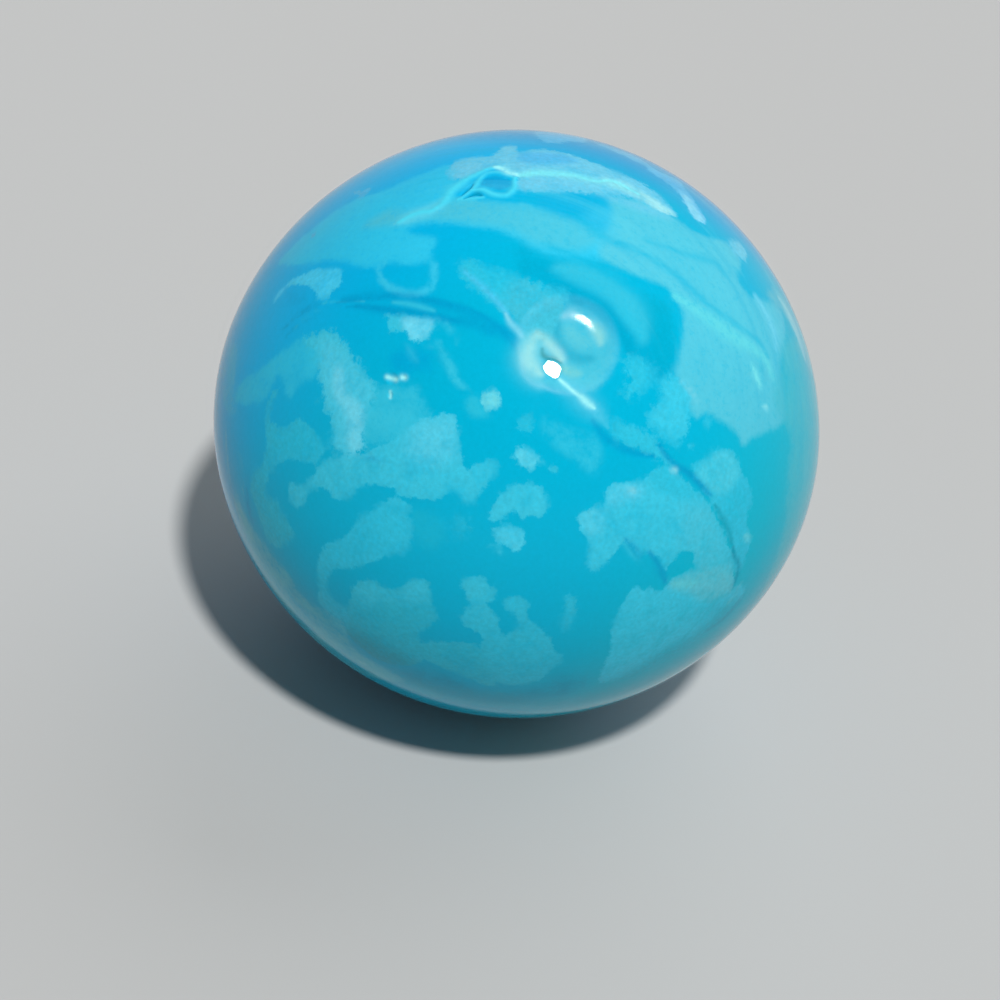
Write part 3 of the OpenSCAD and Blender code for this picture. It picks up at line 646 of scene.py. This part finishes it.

# Wisps: thin threads of pale or dark glass in the ground; a few are painted light and shade, as marked.
# Line, colour, strength
WISPS = [
    ([(0.28, 3.54, 0.12), (0.89, 3.44, 0.2), (1.5, 3.32, 0.22), (1.98, 3.02, 0.22), (2.32, 2.6, 0.18),
      (2.47, 2.26, 0.1)], tint(0, 168, 206), 0.7),
    ([(0.35, 4.18, 0.14), (0.98, 4.17, 0.26), (1.64, 4.02, 0.32), (2.21, 3.72, 0.32), (2.63, 3.25, 0.26),
      (2.82, 2.72, 0.12)], tint(66, 202, 228), 0.6),
    ([(-2.4, 2.25, 0.08), (-2.15, 2.15, 0.12), (-1.95, 1.95, 0.12), (-1.8, 1.7, 0.08)], PALE, 0.45),
    ([(-2.25, 1.65, 0.08), (-2.05, 1.35, 0.12), (-1.85, 1.1, 0.13), (-1.65, 0.8, 0.12),
      (-1.35, 0.65, 0.06)], PALE, 0.6),
    ([(-2.6, 1.55, 0.05), (-2.4, 1.55, 0.07), (-2.2, 1.6, 0.05)], PALE, 0.4),
    ([(-3.05, 1.5, 0.06), (-2.9, 1.3, 0.1), (-2.75, 1.1, 0.06)], PALE, 0.35),
    ([(-7.55, 3.0, 0.07), (-7.7, 2.8, 0.11), (-7.85, 2.65, 0.11), (-7.95, 2.45, 0.07)], tint(75, 212, 254),
      0.9),
    ([(-5.95, 2.3, 0.05), (-6.45, 2.1, 0.09), (-6.85, 1.8, 0.1), (-7.1, 1.5, 0.06)], SHADE, 0.35),
    ([(-5.85, 1.95, 0.05), (-6.3, 1.8, 0.08), (-6.65, 1.6, 0.08), (-6.9, 1.3, 0.05)], SHADE, 0.3),
    ([(-5.8, 2.2, 0.04), (-6.3, 1.95, 0.06), (-6.65, 1.55, 0.05)], PALE, 0.3),
    ([(-5.9, 2.35, 0.04), (-5.25, 2.45, 0.05), (-4.55, 2.5, 0.04)], PALE, 0.35),
    ([(-4.3, 3.7, 0.08), (-4.4, 3.4, 0.09), (-4.2, 3.15, 0.1), (-3.9, 2.95, 0.11), (-3.5, 2.85, 0.13),
      (-3.15, 2.85, 0.13), (-2.85, 3.0, 0.11), (-2.75, 3.2, 0.11), (-2.8, 3.45, 0.11),
      (-2.85, 3.75, 0.09)], tint(58, 204, 240), 0.8),
    ([(1.9, 5.4, 0.08), (2.8, 5.15, 0.12), (3.5, 4.85, 0.12), (4.1, 4.55, 0.12), (4.55, 4.25, 0.1),
      (5.1, 4.05, 0.12), (5.95, 3.8, 0.12), (6.65, 3.6, 0.1), (7.0, 3.25, 0.06)], TURQUOISE, 0.6),
    ([(2.65, 5.7, 0.05), (3.75, 5.65, 0.1), (4.4, 5.7, 0.14), (5.0, 5.75, 0.12), (5.35, 5.45, 0.08)],
      TURQUOISE, 0.5),
    ([(5.9, 5.85, 0.08), (6.2, 5.55, 0.15), (6.8, 5.35, 0.15), (7.45, 5.45, 0.08)], TURQUOISE, 0.6),
    ([(0.5, 6.05, 0.06), (1.05, 5.65, 0.11), (1.5, 5.4, 0.11), (2.1, 5.2, 0.08)], TURQUOISE, 0.5),
    ([(-0.05, 4.8, 0.08), (0.75, 4.6, 0.12), (1.45, 4.4, 0.14), (2.05, 4.15, 0.14), (2.65, 3.85, 0.08)],
      TURQUOISE, 0.6),
    ([(3.55, 4.15, 0.1), (4.35, 3.9, 0.2), (5.05, 3.65, 0.26), (5.7, 3.45, 0.26), (6.35, 3.35, 0.2),
      (6.9, 3.1, 0.14), (7.2, 2.65, 0.08)], tint(100, 220, 232), 0.75),
    ([(6.6, 5.2, 0.1), (6.95, 4.85, 0.17), (7.2, 4.55, 0.2), (7.4, 4.15, 0.17), (7.4, 3.65, 0.08)],
      tint(112, 216, 242), 0.75),
    # Painted reflection: a whitish sheen on the upper right rim
    ([(8.1, 5.85, 0.08), (8.6, 5.55, 0.22), (8.95, 5.1, 0.3), (9.3, 4.6, 0.24), (9.55, 4.0, 0.1)],
      tint(150, 216, 230), 0.8),
    ([(6.3, 2.8, 0.06), (6.5, 2.5, 0.13), (6.7, 2.25, 0.08)], tint(122, 232, 240), 0.8),
    ([(2.1, 3.3, 0.12), (2.5, 3.0, 0.14), (2.75, 2.6, 0.12)], DIM, 0.5),
    ([(-9.25, -1.65, 0.08), (-9.0, -2.75, 0.14), (-8.75, -3.9, 0.14), (-8.25, -4.8, 0.1)], tint(92, 190,
      222), 0.5),
    ([(-8.15, -2.3, 0.06), (-7.95, -2.95, 0.1), (-7.95, -3.8, 0.06)], tint(80, 196, 226), 0.4),
    ([(-7.7, -3.0, 0.06), (-7.7, -3.7, 0.1), (-7.5, -4.45, 0.08)], SHADE, 0.5),
    # Painted shade: the darker inside of the dent
    ([(0.55, 2.65, 0.14), (0.65, 2.25, 0.18), (0.9, 2.0, 0.2), (1.25, 1.9, 0.18), (1.55, 1.95, 0.12)],
      tint(34, 172, 204), 0.75),
    # Painted reflection: a soft pale patch inside the dent
    ([(0.9, 2.55, 0.16), (1.15, 2.4, 0.22), (1.4, 2.3, 0.16)], tint(104, 204, 218), 0.5),
    ([(0.65, -0.75, 0.03), (0.9, -0.85, 0.045), (1.05, -0.9, 0.03)], PALE, 0.5),
    ([(-0.15, -2.95, 0.04), (0.05, -3.1, 0.07), (0.3, -3.25, 0.04)], PALE, 0.6),
    ([(0.05, -2.95, 0.03), (0.2, -3.05, 0.05), (0.4, -3.2, 0.03)], PALE, 0.4)]

# Lines: the colour of the marks themselves, over ground and patches, with painted light among them as marked
# below. Line, colour, strength
LINES = [
    (HAIR_UPPER, SHADE, 0.4), (HAIR_LOWER, SHADE, 0.4),
    ([(-5.25, 2.5, 0.08), (-4.35, 2.7, 0.15), (-3.5, 2.7, 0.16), (-2.85, 2.7, 0.15), (-2.15, 2.6, 0.14),
      (-1.5, 2.45, 0.14), (-0.85, 2.2, 0.15), (-0.4, 1.9, 0.1)], SHADE, 0.4),
    ([(-4.75, 2.35, 0.08), (-3.65, 2.3, 0.15), (-2.9, 2.35, 0.16), (-2.2, 2.3, 0.15), (-1.55, 2.25, 0.14),
      (-1.0, 2.1, 0.1)], SHADE, 0.45),
    ([(-3.7, 2.55, 0.05), (-3.25, 2.55, 0.08), (-2.85, 2.5, 0.08), (-2.55, 2.45, 0.05)], PALE, 0.65),
    ([(-2.05, 3.65, 0.05), (-1.5, 3.3, 0.09), (-1.1, 3.0, 0.09), (-0.7, 2.65, 0.06)], tint(92, 204, 246),
      0.5),
    ([(-0.75, 2.65, 0.04), (-0.6, 2.45, 0.08), (-0.4, 2.3, 0.09), (-0.25, 2.15, 0.07)], tint(128, 216,
      240), 0.9),
    (SEAM_GAP, SHADE, 0.5),
    ([(3.6, 0.1, 0.06), (3.85, -0.15, 0.08), (4.2, -0.35, 0.09), (4.5, -0.45, 0.1), (4.85, -0.65, 0.1),
      (5.15, -0.85, 0.1), (5.35, -0.95, 0.06)], tint(0, 156, 204), 0.75),
    ([(5.55, -1.2, 0.05), (5.75, -1.4, 0.09), (6.0, -1.65, 0.12), (6.25, -1.9, 0.1), (6.45, -2.2, 0.07)],
      tint(0, 164, 190), 0.7),
    ([(6.55, -2.35, 0.06), (6.7, -2.6, 0.1), (7.0, -2.9, 0.08), (7.1, -3.3, 0.07), (7.1, -3.65, 0.05)],
      tint(4, 148, 178), 0.65),
    # Painted reflection: the lamp's bright streak along the short seam, with its paler glow and its tail
    ([(0.9, 1.3, 0.18), (1.25, 1.0, 0.26), (1.65, 0.75, 0.26), (1.95, 0.55, 0.15)], tint(104, 210, 238),
      0.45),
    ([(1.75, 0.75, 0.07), (1.9, 0.6, 0.1), (2.05, 0.45, 0.09), (2.2, 0.3, 0.04)], tint(84, 208, 238), 0.6),
    (SEAM_STREAK, BRIGHT, 0.95),
    ([(-4.4, 5.0, 0.08), (-4.0, 5.35, 0.2), (-3.45, 5.6, 0.22), (-3.15, 6.0, 0.12)], MILK, 0.8),
    ([(-1.3, 7.3, 0.08), (-0.4, 7.65, 0.2), (0.5, 7.6, 0.22), (1.3, 7.65, 0.2), (2.0, 7.6, 0.1)], tint(126,
      222, 236), 0.6),
    (FOLD_TRAIL, tint(125, 240, 250), 0.8), (FOLD_FOOT, LIP, 0.8), (FOLD_STRAND, LIP, 0.85),
    (FOLD_EYE, LIP, 0.9), (FOLD_LIP, LIP, 0.95),
    # Painted highlight: the near-white stretch of the fold's ridge by the eye
    ([(-2.0, 7.55, 0.07), (-1.75, 7.5, 0.12), (-1.55, 7.35, 0.12), (-1.3, 7.3, 0.08)], BRIGHT, 1),
    (FOLD_SLITS[0], SLIT, 0.95), (FOLD_SLITS[1], SLIT, 0.95),
    ([(-3.4, 0.6, 0.06), (-3.15, 0.57, 0.07)], BRIGHT, 0.95),
    ([(-3.0, 0.65, 0.07), (-2.93, 0.65, 0.07)], BRIGHT, 1),
    ([(-3.23, 0.25, 0.04), (-3.2, 0.1, 0.04)], BRIGHT, 0.8),
    ([(3.2, -2.35, 0.04), (3.45, -2.55, 0.07), (3.7, -2.8, 0.05)], SHADE, 0.6),
    ([(3.85, -2.6, 0.04), (4.15, -2.85, 0.08), (4.4, -3.15, 0.1), (4.6, -3.45, 0.06)], SHADE, 0.65),
    ([(3.1, -2.45, 0.04), (3.4, -2.7, 0.07), (3.7, -2.9, 0.04)], PALE, 0.5),
    ([(2.35, -1.75, 0.04), (2.75, -1.95, 0.06), (3.15, -2.25, 0.04)], TURQUOISE, 0.35),
    ([(4.15, -1.6, 0.03), (4.55, -1.95, 0.06), (4.95, -2.35, 0.04)], TURQUOISE, 0.35),
    ([(6.95, -3.85, 0.05), (6.65, -4.0, 0.1), (6.5, -4.4, 0.12), (6.35, -4.85, 0.08)], SEA, 0.55),
    ([(6.35, -3.8, 0.04), (6.2, -4.05, 0.08), (6.2, -4.5, 0.06)], SEA, 0.45),
    ([(5.65, -4.1, 0.04), (5.55, -4.55, 0.08), (5.45, -5.05, 0.06)], SEA, 0.35),
    ([(5.1, -4.7, 0.03), (5.1, -5.35, 0.07), (5.1, -5.95, 0.05)], SEA, 0.4),
    ([(7.4, -3.5, 0.04), (7.4, -3.9, 0.07), (7.2, -4.25, 0.06)], tint(92, 200, 216), 0.5),
    ([(7.9, -3.9, 0.05), (7.7, -4.4, 0.1), (7.35, -4.9, 0.1), (6.85, -5.25, 0.06)], tint(8, 144, 176),
      0.45),
    ([(6.2, -4.55, 0.04), (6.1, -5.05, 0.08), (5.9, -5.6, 0.06)], SEA, 0.35),
    ([(4.85, -3.45, 0.1), (5.2, -3.5, 0.15), (5.55, -3.4, 0.1)], tint(96, 214, 228), 0.7),
    ([(-3.6, -1.5, 0.03), (-3.25, -1.45, 0.05), (-2.95, -1.45, 0.03)], SHADE, 0.4),
    # The next four: small pale specks and a faint line, painted glints
    ([(4.0, 1.8, 0.04), (4.25, 1.65, 0.07), (4.5, 1.4, 0.05)], ICE, 0.3),
    ([(6.9, 1.7, 0.06), (7.0, 1.7, 0.06)], BRIGHT, 0.9),
    ([(4.1, -0.45, 0.08), (4.15, -0.45, 0.08)], ICE, 0.75),
    ([(3.05, -1.15, 0.08), (3.15, -1.15, 0.08)], ICE, 0.7),
    ([(6.95, -2.0, 0.09), (7.1, -2.1, 0.09)], tint(112, 220, 234), 0.8),
    ([(-3.65, -8.55, 0.06), (-3.55, -8.5, 0.06)], ICE, 0.6),
    # Painted highlight glows of the lamp round the pit and round the dent's glint, over frosted glass
    ([(-0.1, 1.95, 0.24), (-0.15, 1.55, 0.28), (0.05, 1.2, 0.24), (0.35, 1.0, 0.14)], tint(88, 206, 230),
      0.5),
    ([(0.1, 2.3, 0.1), (0.0, 2.0, 0.18), (0.0, 1.65, 0.24), (0.15, 1.45, 0.22), (0.35, 1.3, 0.1)],
      tint(166, 230, 230), 0.7),
    ([(0.15, 2.3, 0.1), (0.35, 2.2, 0.15), (0.6, 2.0, 0.16), (0.8, 1.8, 0.12)], tint(160, 226, 226), 0.7),
    ([(0.9, 1.55, 0.12), (1.1, 1.5, 0.15), (1.3, 1.5, 0.08)], tint(130, 210, 208), 0.65),
    ([(1.32, 2.9, 0.08), (1.52, 2.75, 0.14), (1.67, 2.57, 0.15), (1.73, 2.37, 0.08)], tint(154, 224, 222),
      0.65),
    ([(0.7, 2.9, 0.08), (0.85, 3.0, 0.13), (1.05, 3.0, 0.08)], tint(146, 214, 236), 0.6),
    # The crack above the pit: a shallow groove, its dark upper wall painted shade
    (PIT_CRACK, tint(56, 146, 156), 0.75)]
BACK_LINES = [(BACK_FOLD, LIP, 0.9)]


def painted(colour, cover, over):
    """The colour with another laid over it, by the cover at each place."""
    return colour + cover[:, None] * (over - colour)


def glazed(layers):
    """Layers of (cover, colour) laid one over another on bare glass: their joint colour, and their joint
    cover."""
    colour = np.zeros((len(layers[0][0]), 3))
    joint = np.zeros(len(colour))
    for cover, over in layers:
        colour = painted(colour, cover, over)
        joint += cover * (1 - joint)
    return colour / np.maximum(joint, 1e-6)[:, None], joint


def threads(place, lines):
    """A layer for each line: its cover falls off from it by exp(-(half-widths away)^2)."""
    return [(strength * np.exp(-(off_stroke(place, points) ** 2)), colour)
            for points, colour, strength in lines]


def clouds(place, outlines):
    """A layer for each outline: its cover rises across the outline, over twice its softness."""
    return [(strength * soft_step(depth_inside(place, outline), softness), colour)
            for outline, softness, colour, strength in outlines]


PATCHES_RUN = 0.15


def glass_colours(place, patches):
    """The layers of colour at places on a map: the ground, the veils' colour and cover, and the patches'
    colour and how far inside a patch each place is. Where two patches touch, their colours run together by
    exp(depth / PATCHES_RUN)."""
    x, y = place.T
    ground = painted(np.tile(TURQUOISE, (len(place), 1)), soft_step(0.7 * x - 0.3 * y - 4, 2), SEA)
    ground = painted(ground, soft_step(0.5 * y - 0.7 * x - 4.2, 2.2), AZURE)
    # Painted shade: the ground turns deeper cobalt towards the top rim
    ground = painted(ground, soft_step(y + 0.2 * x - 9, 1.2), COBALT)
    veil, veiled = glazed(clouds(place, VEILS) + threads(place, WISPS))
    depths = np.array([depth_inside(place, outline) / softness for outline, colour, softness in patches])
    share = np.exp(depths / PATCHES_RUN)
    patch = (share[..., None] * np.array([colour for outline, colour, softness in patches])[:, None]).sum(0)
    patch /= share.sum(0)[:, None]
    for cover, colour in clouds(place, GLOWS):
        patch = painted(patch, cover, colour)
    return ground, veil, veiled, patch, depths.max(0)


# The far side wears the same patches and veils, turned on its own map, since both sides came from one stream
# of glass. The two sides' grounds run into each other over a band where they meet.
BACK_TURN = np.radians(150)
back_right = -RIGHT * np.cos(BACK_TURN) + UP * np.sin(BACK_TURN)
back_up = np.cross(-FRONT, back_right)
near_place = on_map(direction, RIGHT, UP)
far_place = on_map(direction, back_right, back_up)
ground, veil, veiled, patch, depth = glass_colours(near_place, PATCHES + SIDE_PATCHES)
far_ground, far_veil, far_veiled, far_patch, far_depth = glass_colours(far_place, PATCHES)
mark, marked = glazed(threads(near_place, LINES))
far_mark, far_marked = glazed(threads(on_map(direction, -RIGHT, UP), BACK_LINES))
facing = soft_step(direction @ FRONT + 0.35, 0.2)
veiled *= facing
far_veiled *= 1 - facing


def keep_colour(name, colour):
    layer = mesh.attributes.new(name, "FLOAT_COLOR", "POINT")
    rgba = np.concatenate([np.clip(colour, 0, 1), np.ones((len(colour), 1))], 1)
    layer.data.foreach_set("color", rgba.ravel().astype(np.float32))


def keep_value(name, value):
    layer = mesh.attributes.new(name, "FLOAT", "POINT")
    layer.data.foreach_set("value", value.astype(np.float32))


def keep_layer(name, colour, far_colour, cover_name, cover, far_cover):
    """Keeps the near side's colour where its cover is the greater and the far side's elsewhere, and the
    greater cover."""
    keep_colour(name, np.where((cover > far_cover)[:, None], colour, far_colour))
    keep_value(cover_name, np.maximum(cover, far_cover))


keep_colour("ground", painted(far_ground, facing, ground))
keep_layer("veil", veil, far_veil, "veiled", veiled, far_veiled)
keep_layer("patch", patch, far_patch, "patch_depth", depth, far_depth)
keep_layer("mark", mark, far_mark, "marked", marked, far_marked)

# Where the glass was drawn out into streaks, and where knocks have left it frosted: in a ring on the dent's
# rim and in a round patch about the pit, but not within FLOOR_GAP of the pit's floor
RING_R = 1.14
RING_HALF = 0.16
RING_SOFT = 0.12
KNOCK = (0.4, 1.55)
KNOCK_R = 0.55
KNOCK_SOFT = 0.2
FLOOR_GAP = 0.06
x, y = near_place.T
keep_value("drawn", soft_step(y + 0.5 * x - 4.5, 1.5) * facing)
ring = soft_step(RING_HALF - np.abs(np.hypot(x - DENT[0], y - DENT[1]) - RING_R), RING_SOFT)
knock = soft_step(KNOCK_R - np.hypot(x - KNOCK[0], y - KNOCK[1]), KNOCK_SOFT)
off_floor = soft_step(-FLOOR_GAP - depth_inside(near_place, PIT), PIT_SOFT)
keep_value("frosted", np.maximum(ring, knock) * off_floor)

# The glass itself: opaque and glossy, with its colours laid as above. Fine noise in millimetres tears the
# patches' edges, clouds their inside and streaks the drawn-out part.
glass = bpy.data.materials.new("swirled_glass")
glass.use_nodes = True
nodes = glass.node_tree.nodes
links = glass.node_tree.links
shader = nodes["Principled BSDF"]


def add(kind, **settings):
    """A new node of that kind in the material at hand."""
    node = nodes.new(kind)
    for name, value in settings.items():
        setattr(node, name, value)
    return node


def feed(node, index, value):
    """Gives a node's input a number, a colour or another node's output."""
    if isinstance(value, bpy.types.NodeSocket):
        links.new(value, node.inputs[index])
    else:
        node.inputs[index].default_value = value


def maths(operation, *values):
    node = add("ShaderNodeMath", operation=operation)
    for index, value in enumerate(values):
        feed(node, index, value)
    return node.outputs[0]


def vectors(operation, *values):
    node = add("ShaderNodeVectorMath", operation=operation)
    for index, value in enumerate(values):
        feed(node, index, value)
    return node.outputs["Value" if operation == "DOT_PRODUCT" else "Vector"]


def mixed(factor, a, b):
    node = add("ShaderNodeMix", data_type="RGBA")
    feed(node, 0, factor)
    feed(node, 6, a)
    feed(node, 7, b)
    return node.outputs[2]


def kept(name, output="Fac"):
    """The colour or value that the mesh keeps under this name."""
    return add("ShaderNodeAttribute", attribute_name=name).outputs[output]


def noise(vector, per_mm, detail, roughness):
    """Noise from about -0.5 to 0.5, with this many lumps to a millimetre."""
    node = add("ShaderNodeTexNoise")
    for index, value in (("Vector", vector), ("Scale", per_mm), ("Detail", detail), ("Roughness", roughness)):
        feed(node, index, value)
    return maths("SUBTRACT", node.outputs[0], 0.5)


def ramp(value, start, end):
    """0 at start and 1 at end, and a smooth step between them."""
    node = add("ShaderNodeMapRange", interpolation_type="SMOOTHSTEP")
    for index, number in enumerate((value, start, end)):
        feed(node, index, number)
    return node.outputs[0]


at = vectors("MULTIPLY", add("ShaderNodeTexCoord").outputs["Object"], (1 / MM, 1 / MM, 1 / MM))
fine = noise(at, 5, 5, 0.7)
coarse = noise(at, 1.4, 3, 0.6)
grain = noise(at, 18, 2, 0.6)

# Streaks: noise that changes fast with the distance from the map's middle, and slowly round it
from_middle = maths("ARCCOSINE", vectors("DOT_PRODUCT", vectors("NORMALIZE", at), tuple(FRONT)))
across_streaks = add("ShaderNodeCombineXYZ")
feed(across_streaks, 0, maths("MULTIPLY", from_middle, 14.0))
streak_at = vectors("ADD", vectors("MULTIPLY", at, (0.3, 0.3, 0.3)), across_streaks.outputs[0])
streaks = maths("MULTIPLY", noise(streak_at, 1.2, 3, 0.6), kept("drawn"))

# Veils over the ground, torn where they begin and end and thinned by the noise, and then the streaks
veil_share = kept("veiled")
wavering = maths("MULTIPLY", veil_share, maths("SUBTRACT", 1.0, veil_share))
torn_veil = maths("MULTIPLY_ADD", maths("MULTIPLY", wavering, maths("ADD", fine, coarse)), 5.0, veil_share)
thinned = maths("MULTIPLY_ADD", ramp(maths("MULTIPLY_ADD", grain, 0.5, fine), -0.05, 0.25), -0.4, 1.0)
veil_cover = maths("MULTIPLY", ramp(torn_veil, 0.0, 1.0), thinned)
base = mixed(veil_cover, kept("ground", "Color"), kept("veil", "Color"))
base = mixed(maths("MULTIPLY", ramp(streaks, 0.0, 0.25), 0.22), base, (*tint(100, 216, 234), 1))
base = mixed(maths("MULTIPLY", ramp(streaks, 0.0, -0.25), 0.35), base, (*tint(8, 180, 220), 1))

# Patches over that, with ragged edges and thin spots, and the marks over both
cloudy = maths("ADD", maths("ADD", fine, coarse), maths("MULTIPLY", grain, 0.5))
edge_half = maths("MULTIPLY_ADD", ramp(coarse, -0.05, 0.2), 0.1, 0.05)
torn_depth = maths("MULTIPLY_ADD", fine, 0.45, kept("patch_depth"))
in_patch = ramp(torn_depth, maths("MULTIPLY", edge_half, -1.0), edge_half)
thin = ramp(cloudy, -0.15, 0.3)
thinned_patch = mixed(maths("MULTIPLY", thin, 0.4), kept("patch", "Color"), base)
mark_cover = maths("MULTIPLY", kept("marked"), maths("MULTIPLY_ADD", thin, -0.3, 1.0))
coloured = mixed(mark_cover, mixed(in_patch, base, thinned_patch), kept("mark", "Color"))

# A faint mottle over everything, strongest in the patches, and gloss that is duller where it is frosted
mottle = maths("MULTIPLY", noise(at, 9, 3, 0.7), maths("MULTIPLY_ADD", in_patch, 0.3, 0.15))
links.new(vectors("MULTIPLY", coloured, maths("ADD", mottle, 1.0)), shader.inputs["Base Color"])
rough = maths("MULTIPLY_ADD", ramp(coarse, -0.2, 0.3), 0.06, 0.08)
links.new(maths("MULTIPLY_ADD", kept("frosted"), 0.4, rough), shader.inputs["Roughness"])
bump = add("ShaderNodeBump")
for index, value in (("Strength", 0.1), ("Distance", 0.00002), ("Height", fine)):
    feed(bump, index, value)
links.new(bump.outputs[0], shader.inputs["Normal"])
shader.inputs["Specular IOR Level"].default_value = 0.1

mesh.materials.append(glass)
ball = bpy.data.objects.new("glass_ball", mesh)
bpy.context.scene.collection.objects.link(ball)
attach(ball, "root")
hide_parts("marble")

# ---- The table and the light
# A plain pale table, a small bright lamp up to the front right, a broad cool one behind on the right, and a
# pale room round them.

TABLE_R = 3.0
CORNERS = 64
floor_mesh = bpy.data.meshes.new("table")
turn = np.arange(CORNERS) * 2 * np.pi / CORNERS
corners = np.stack([TABLE_R * np.cos(turn), TABLE_R * np.sin(turn), np.full(CORNERS, low.z)], 1)
floor_mesh.from_pydata(corners, [], [list(range(CORNERS))])
table = bpy.data.materials.new("pale_table")
table.use_nodes = True
nodes = table.node_tree.nodes
links = table.node_tree.links
shader = nodes["Principled BSDF"]


def seen():
    """1 for rays from the camera and for mirrored or passed-on ones, 0 for the rest."""
    path = add("ShaderNodeLightPath").outputs
    mirrored = maths("ADD", path["Is Glossy Ray"], path["Is Transmission Ray"])
    return maths("ADD", path["Is Camera Ray"], mirrored)


links.new(mixed(seen(), (0.42, 0.42, 0.42, 1), (0.52, 0.52, 0.52, 1)), shader.inputs["Base Color"])
shader.inputs["Roughness"].default_value = 0.9
shader.inputs["Specular IOR Level"].default_value = 0.0
floor_mesh.materials.append(table)
floor = bpy.data.objects.new("table", floor_mesh)
bpy.context.scene.collection.objects.link(floor)


def add_sun(name, towards, width, strength, colour):
    """A lamp so far off that its light is even. It stands in the direction towards, and looks width degrees
    wide."""
    lamp = bpy.data.lights.new(name, "SUN")
    lamp.angle = np.radians(width)
    lamp.energy = strength
    lamp.color = colour
    holder = bpy.data.objects.new(name, lamp)
    holder.matrix_world = Vector(towards).to_track_quat("Z", "Y").to_matrix().to_4x4()
    bpy.context.scene.collection.objects.link(holder)
    return holder


add_sun("lamp", (0.149, -0.461, 0.875), 4.5, 2.8, (1.0, 1.0, 0.98))
window = add_sun("window", (0.4, 0.7, 0.58), 70, 1.0, (0.88, 0.95, 1.0))
window.visible_glossy = False

world = bpy.data.worlds.new("room")
world.use_nodes = True
nodes = world.node_tree.nodes
links = world.node_tree.links
height = add("ShaderNodeSeparateXYZ")
feed(height, 0, add("ShaderNodeTexCoord").outputs["Generated"])
walls = maths("MULTIPLY", ramp(height.outputs["Z"], 0.6, 0.0), seen())
nodes["Background"].inputs[0].default_value = (1, 1, 1, 1)
links.new(maths("MULTIPLY_ADD", walls, 0.4, 0.12), nodes["Background"].inputs[1])
bpy.context.scene.world = world

# ---- The camera
# It looks down on the marble from the front, rolled a little, through a long lens.

view = bpy.data.cameras.new("view")
view.lens = 90
view.sensor_width = 36
view.clip_start = 0.001
VIEW_FROM = Vector((0, -0.054335, 0.038046))
VIEW_AT = Vector((-0.00009, -0.00121, -0.00167))
ROLL = np.radians(9.94)
camera = bpy.data.objects.new("camera", view)
facing_marble = (VIEW_AT - VIEW_FROM).to_track_quat("-Z", "Y").to_matrix()
camera.matrix_world = Matrix.Translation(VIEW_FROM) @ (facing_marble @ Matrix.Rotation(ROLL, 3, "Z")).to_4x4()
bpy.context.scene.collection.objects.link(camera)
bpy.context.scene.camera = camera
bpy.context.scene.view_settings.view_transform = "Standard"
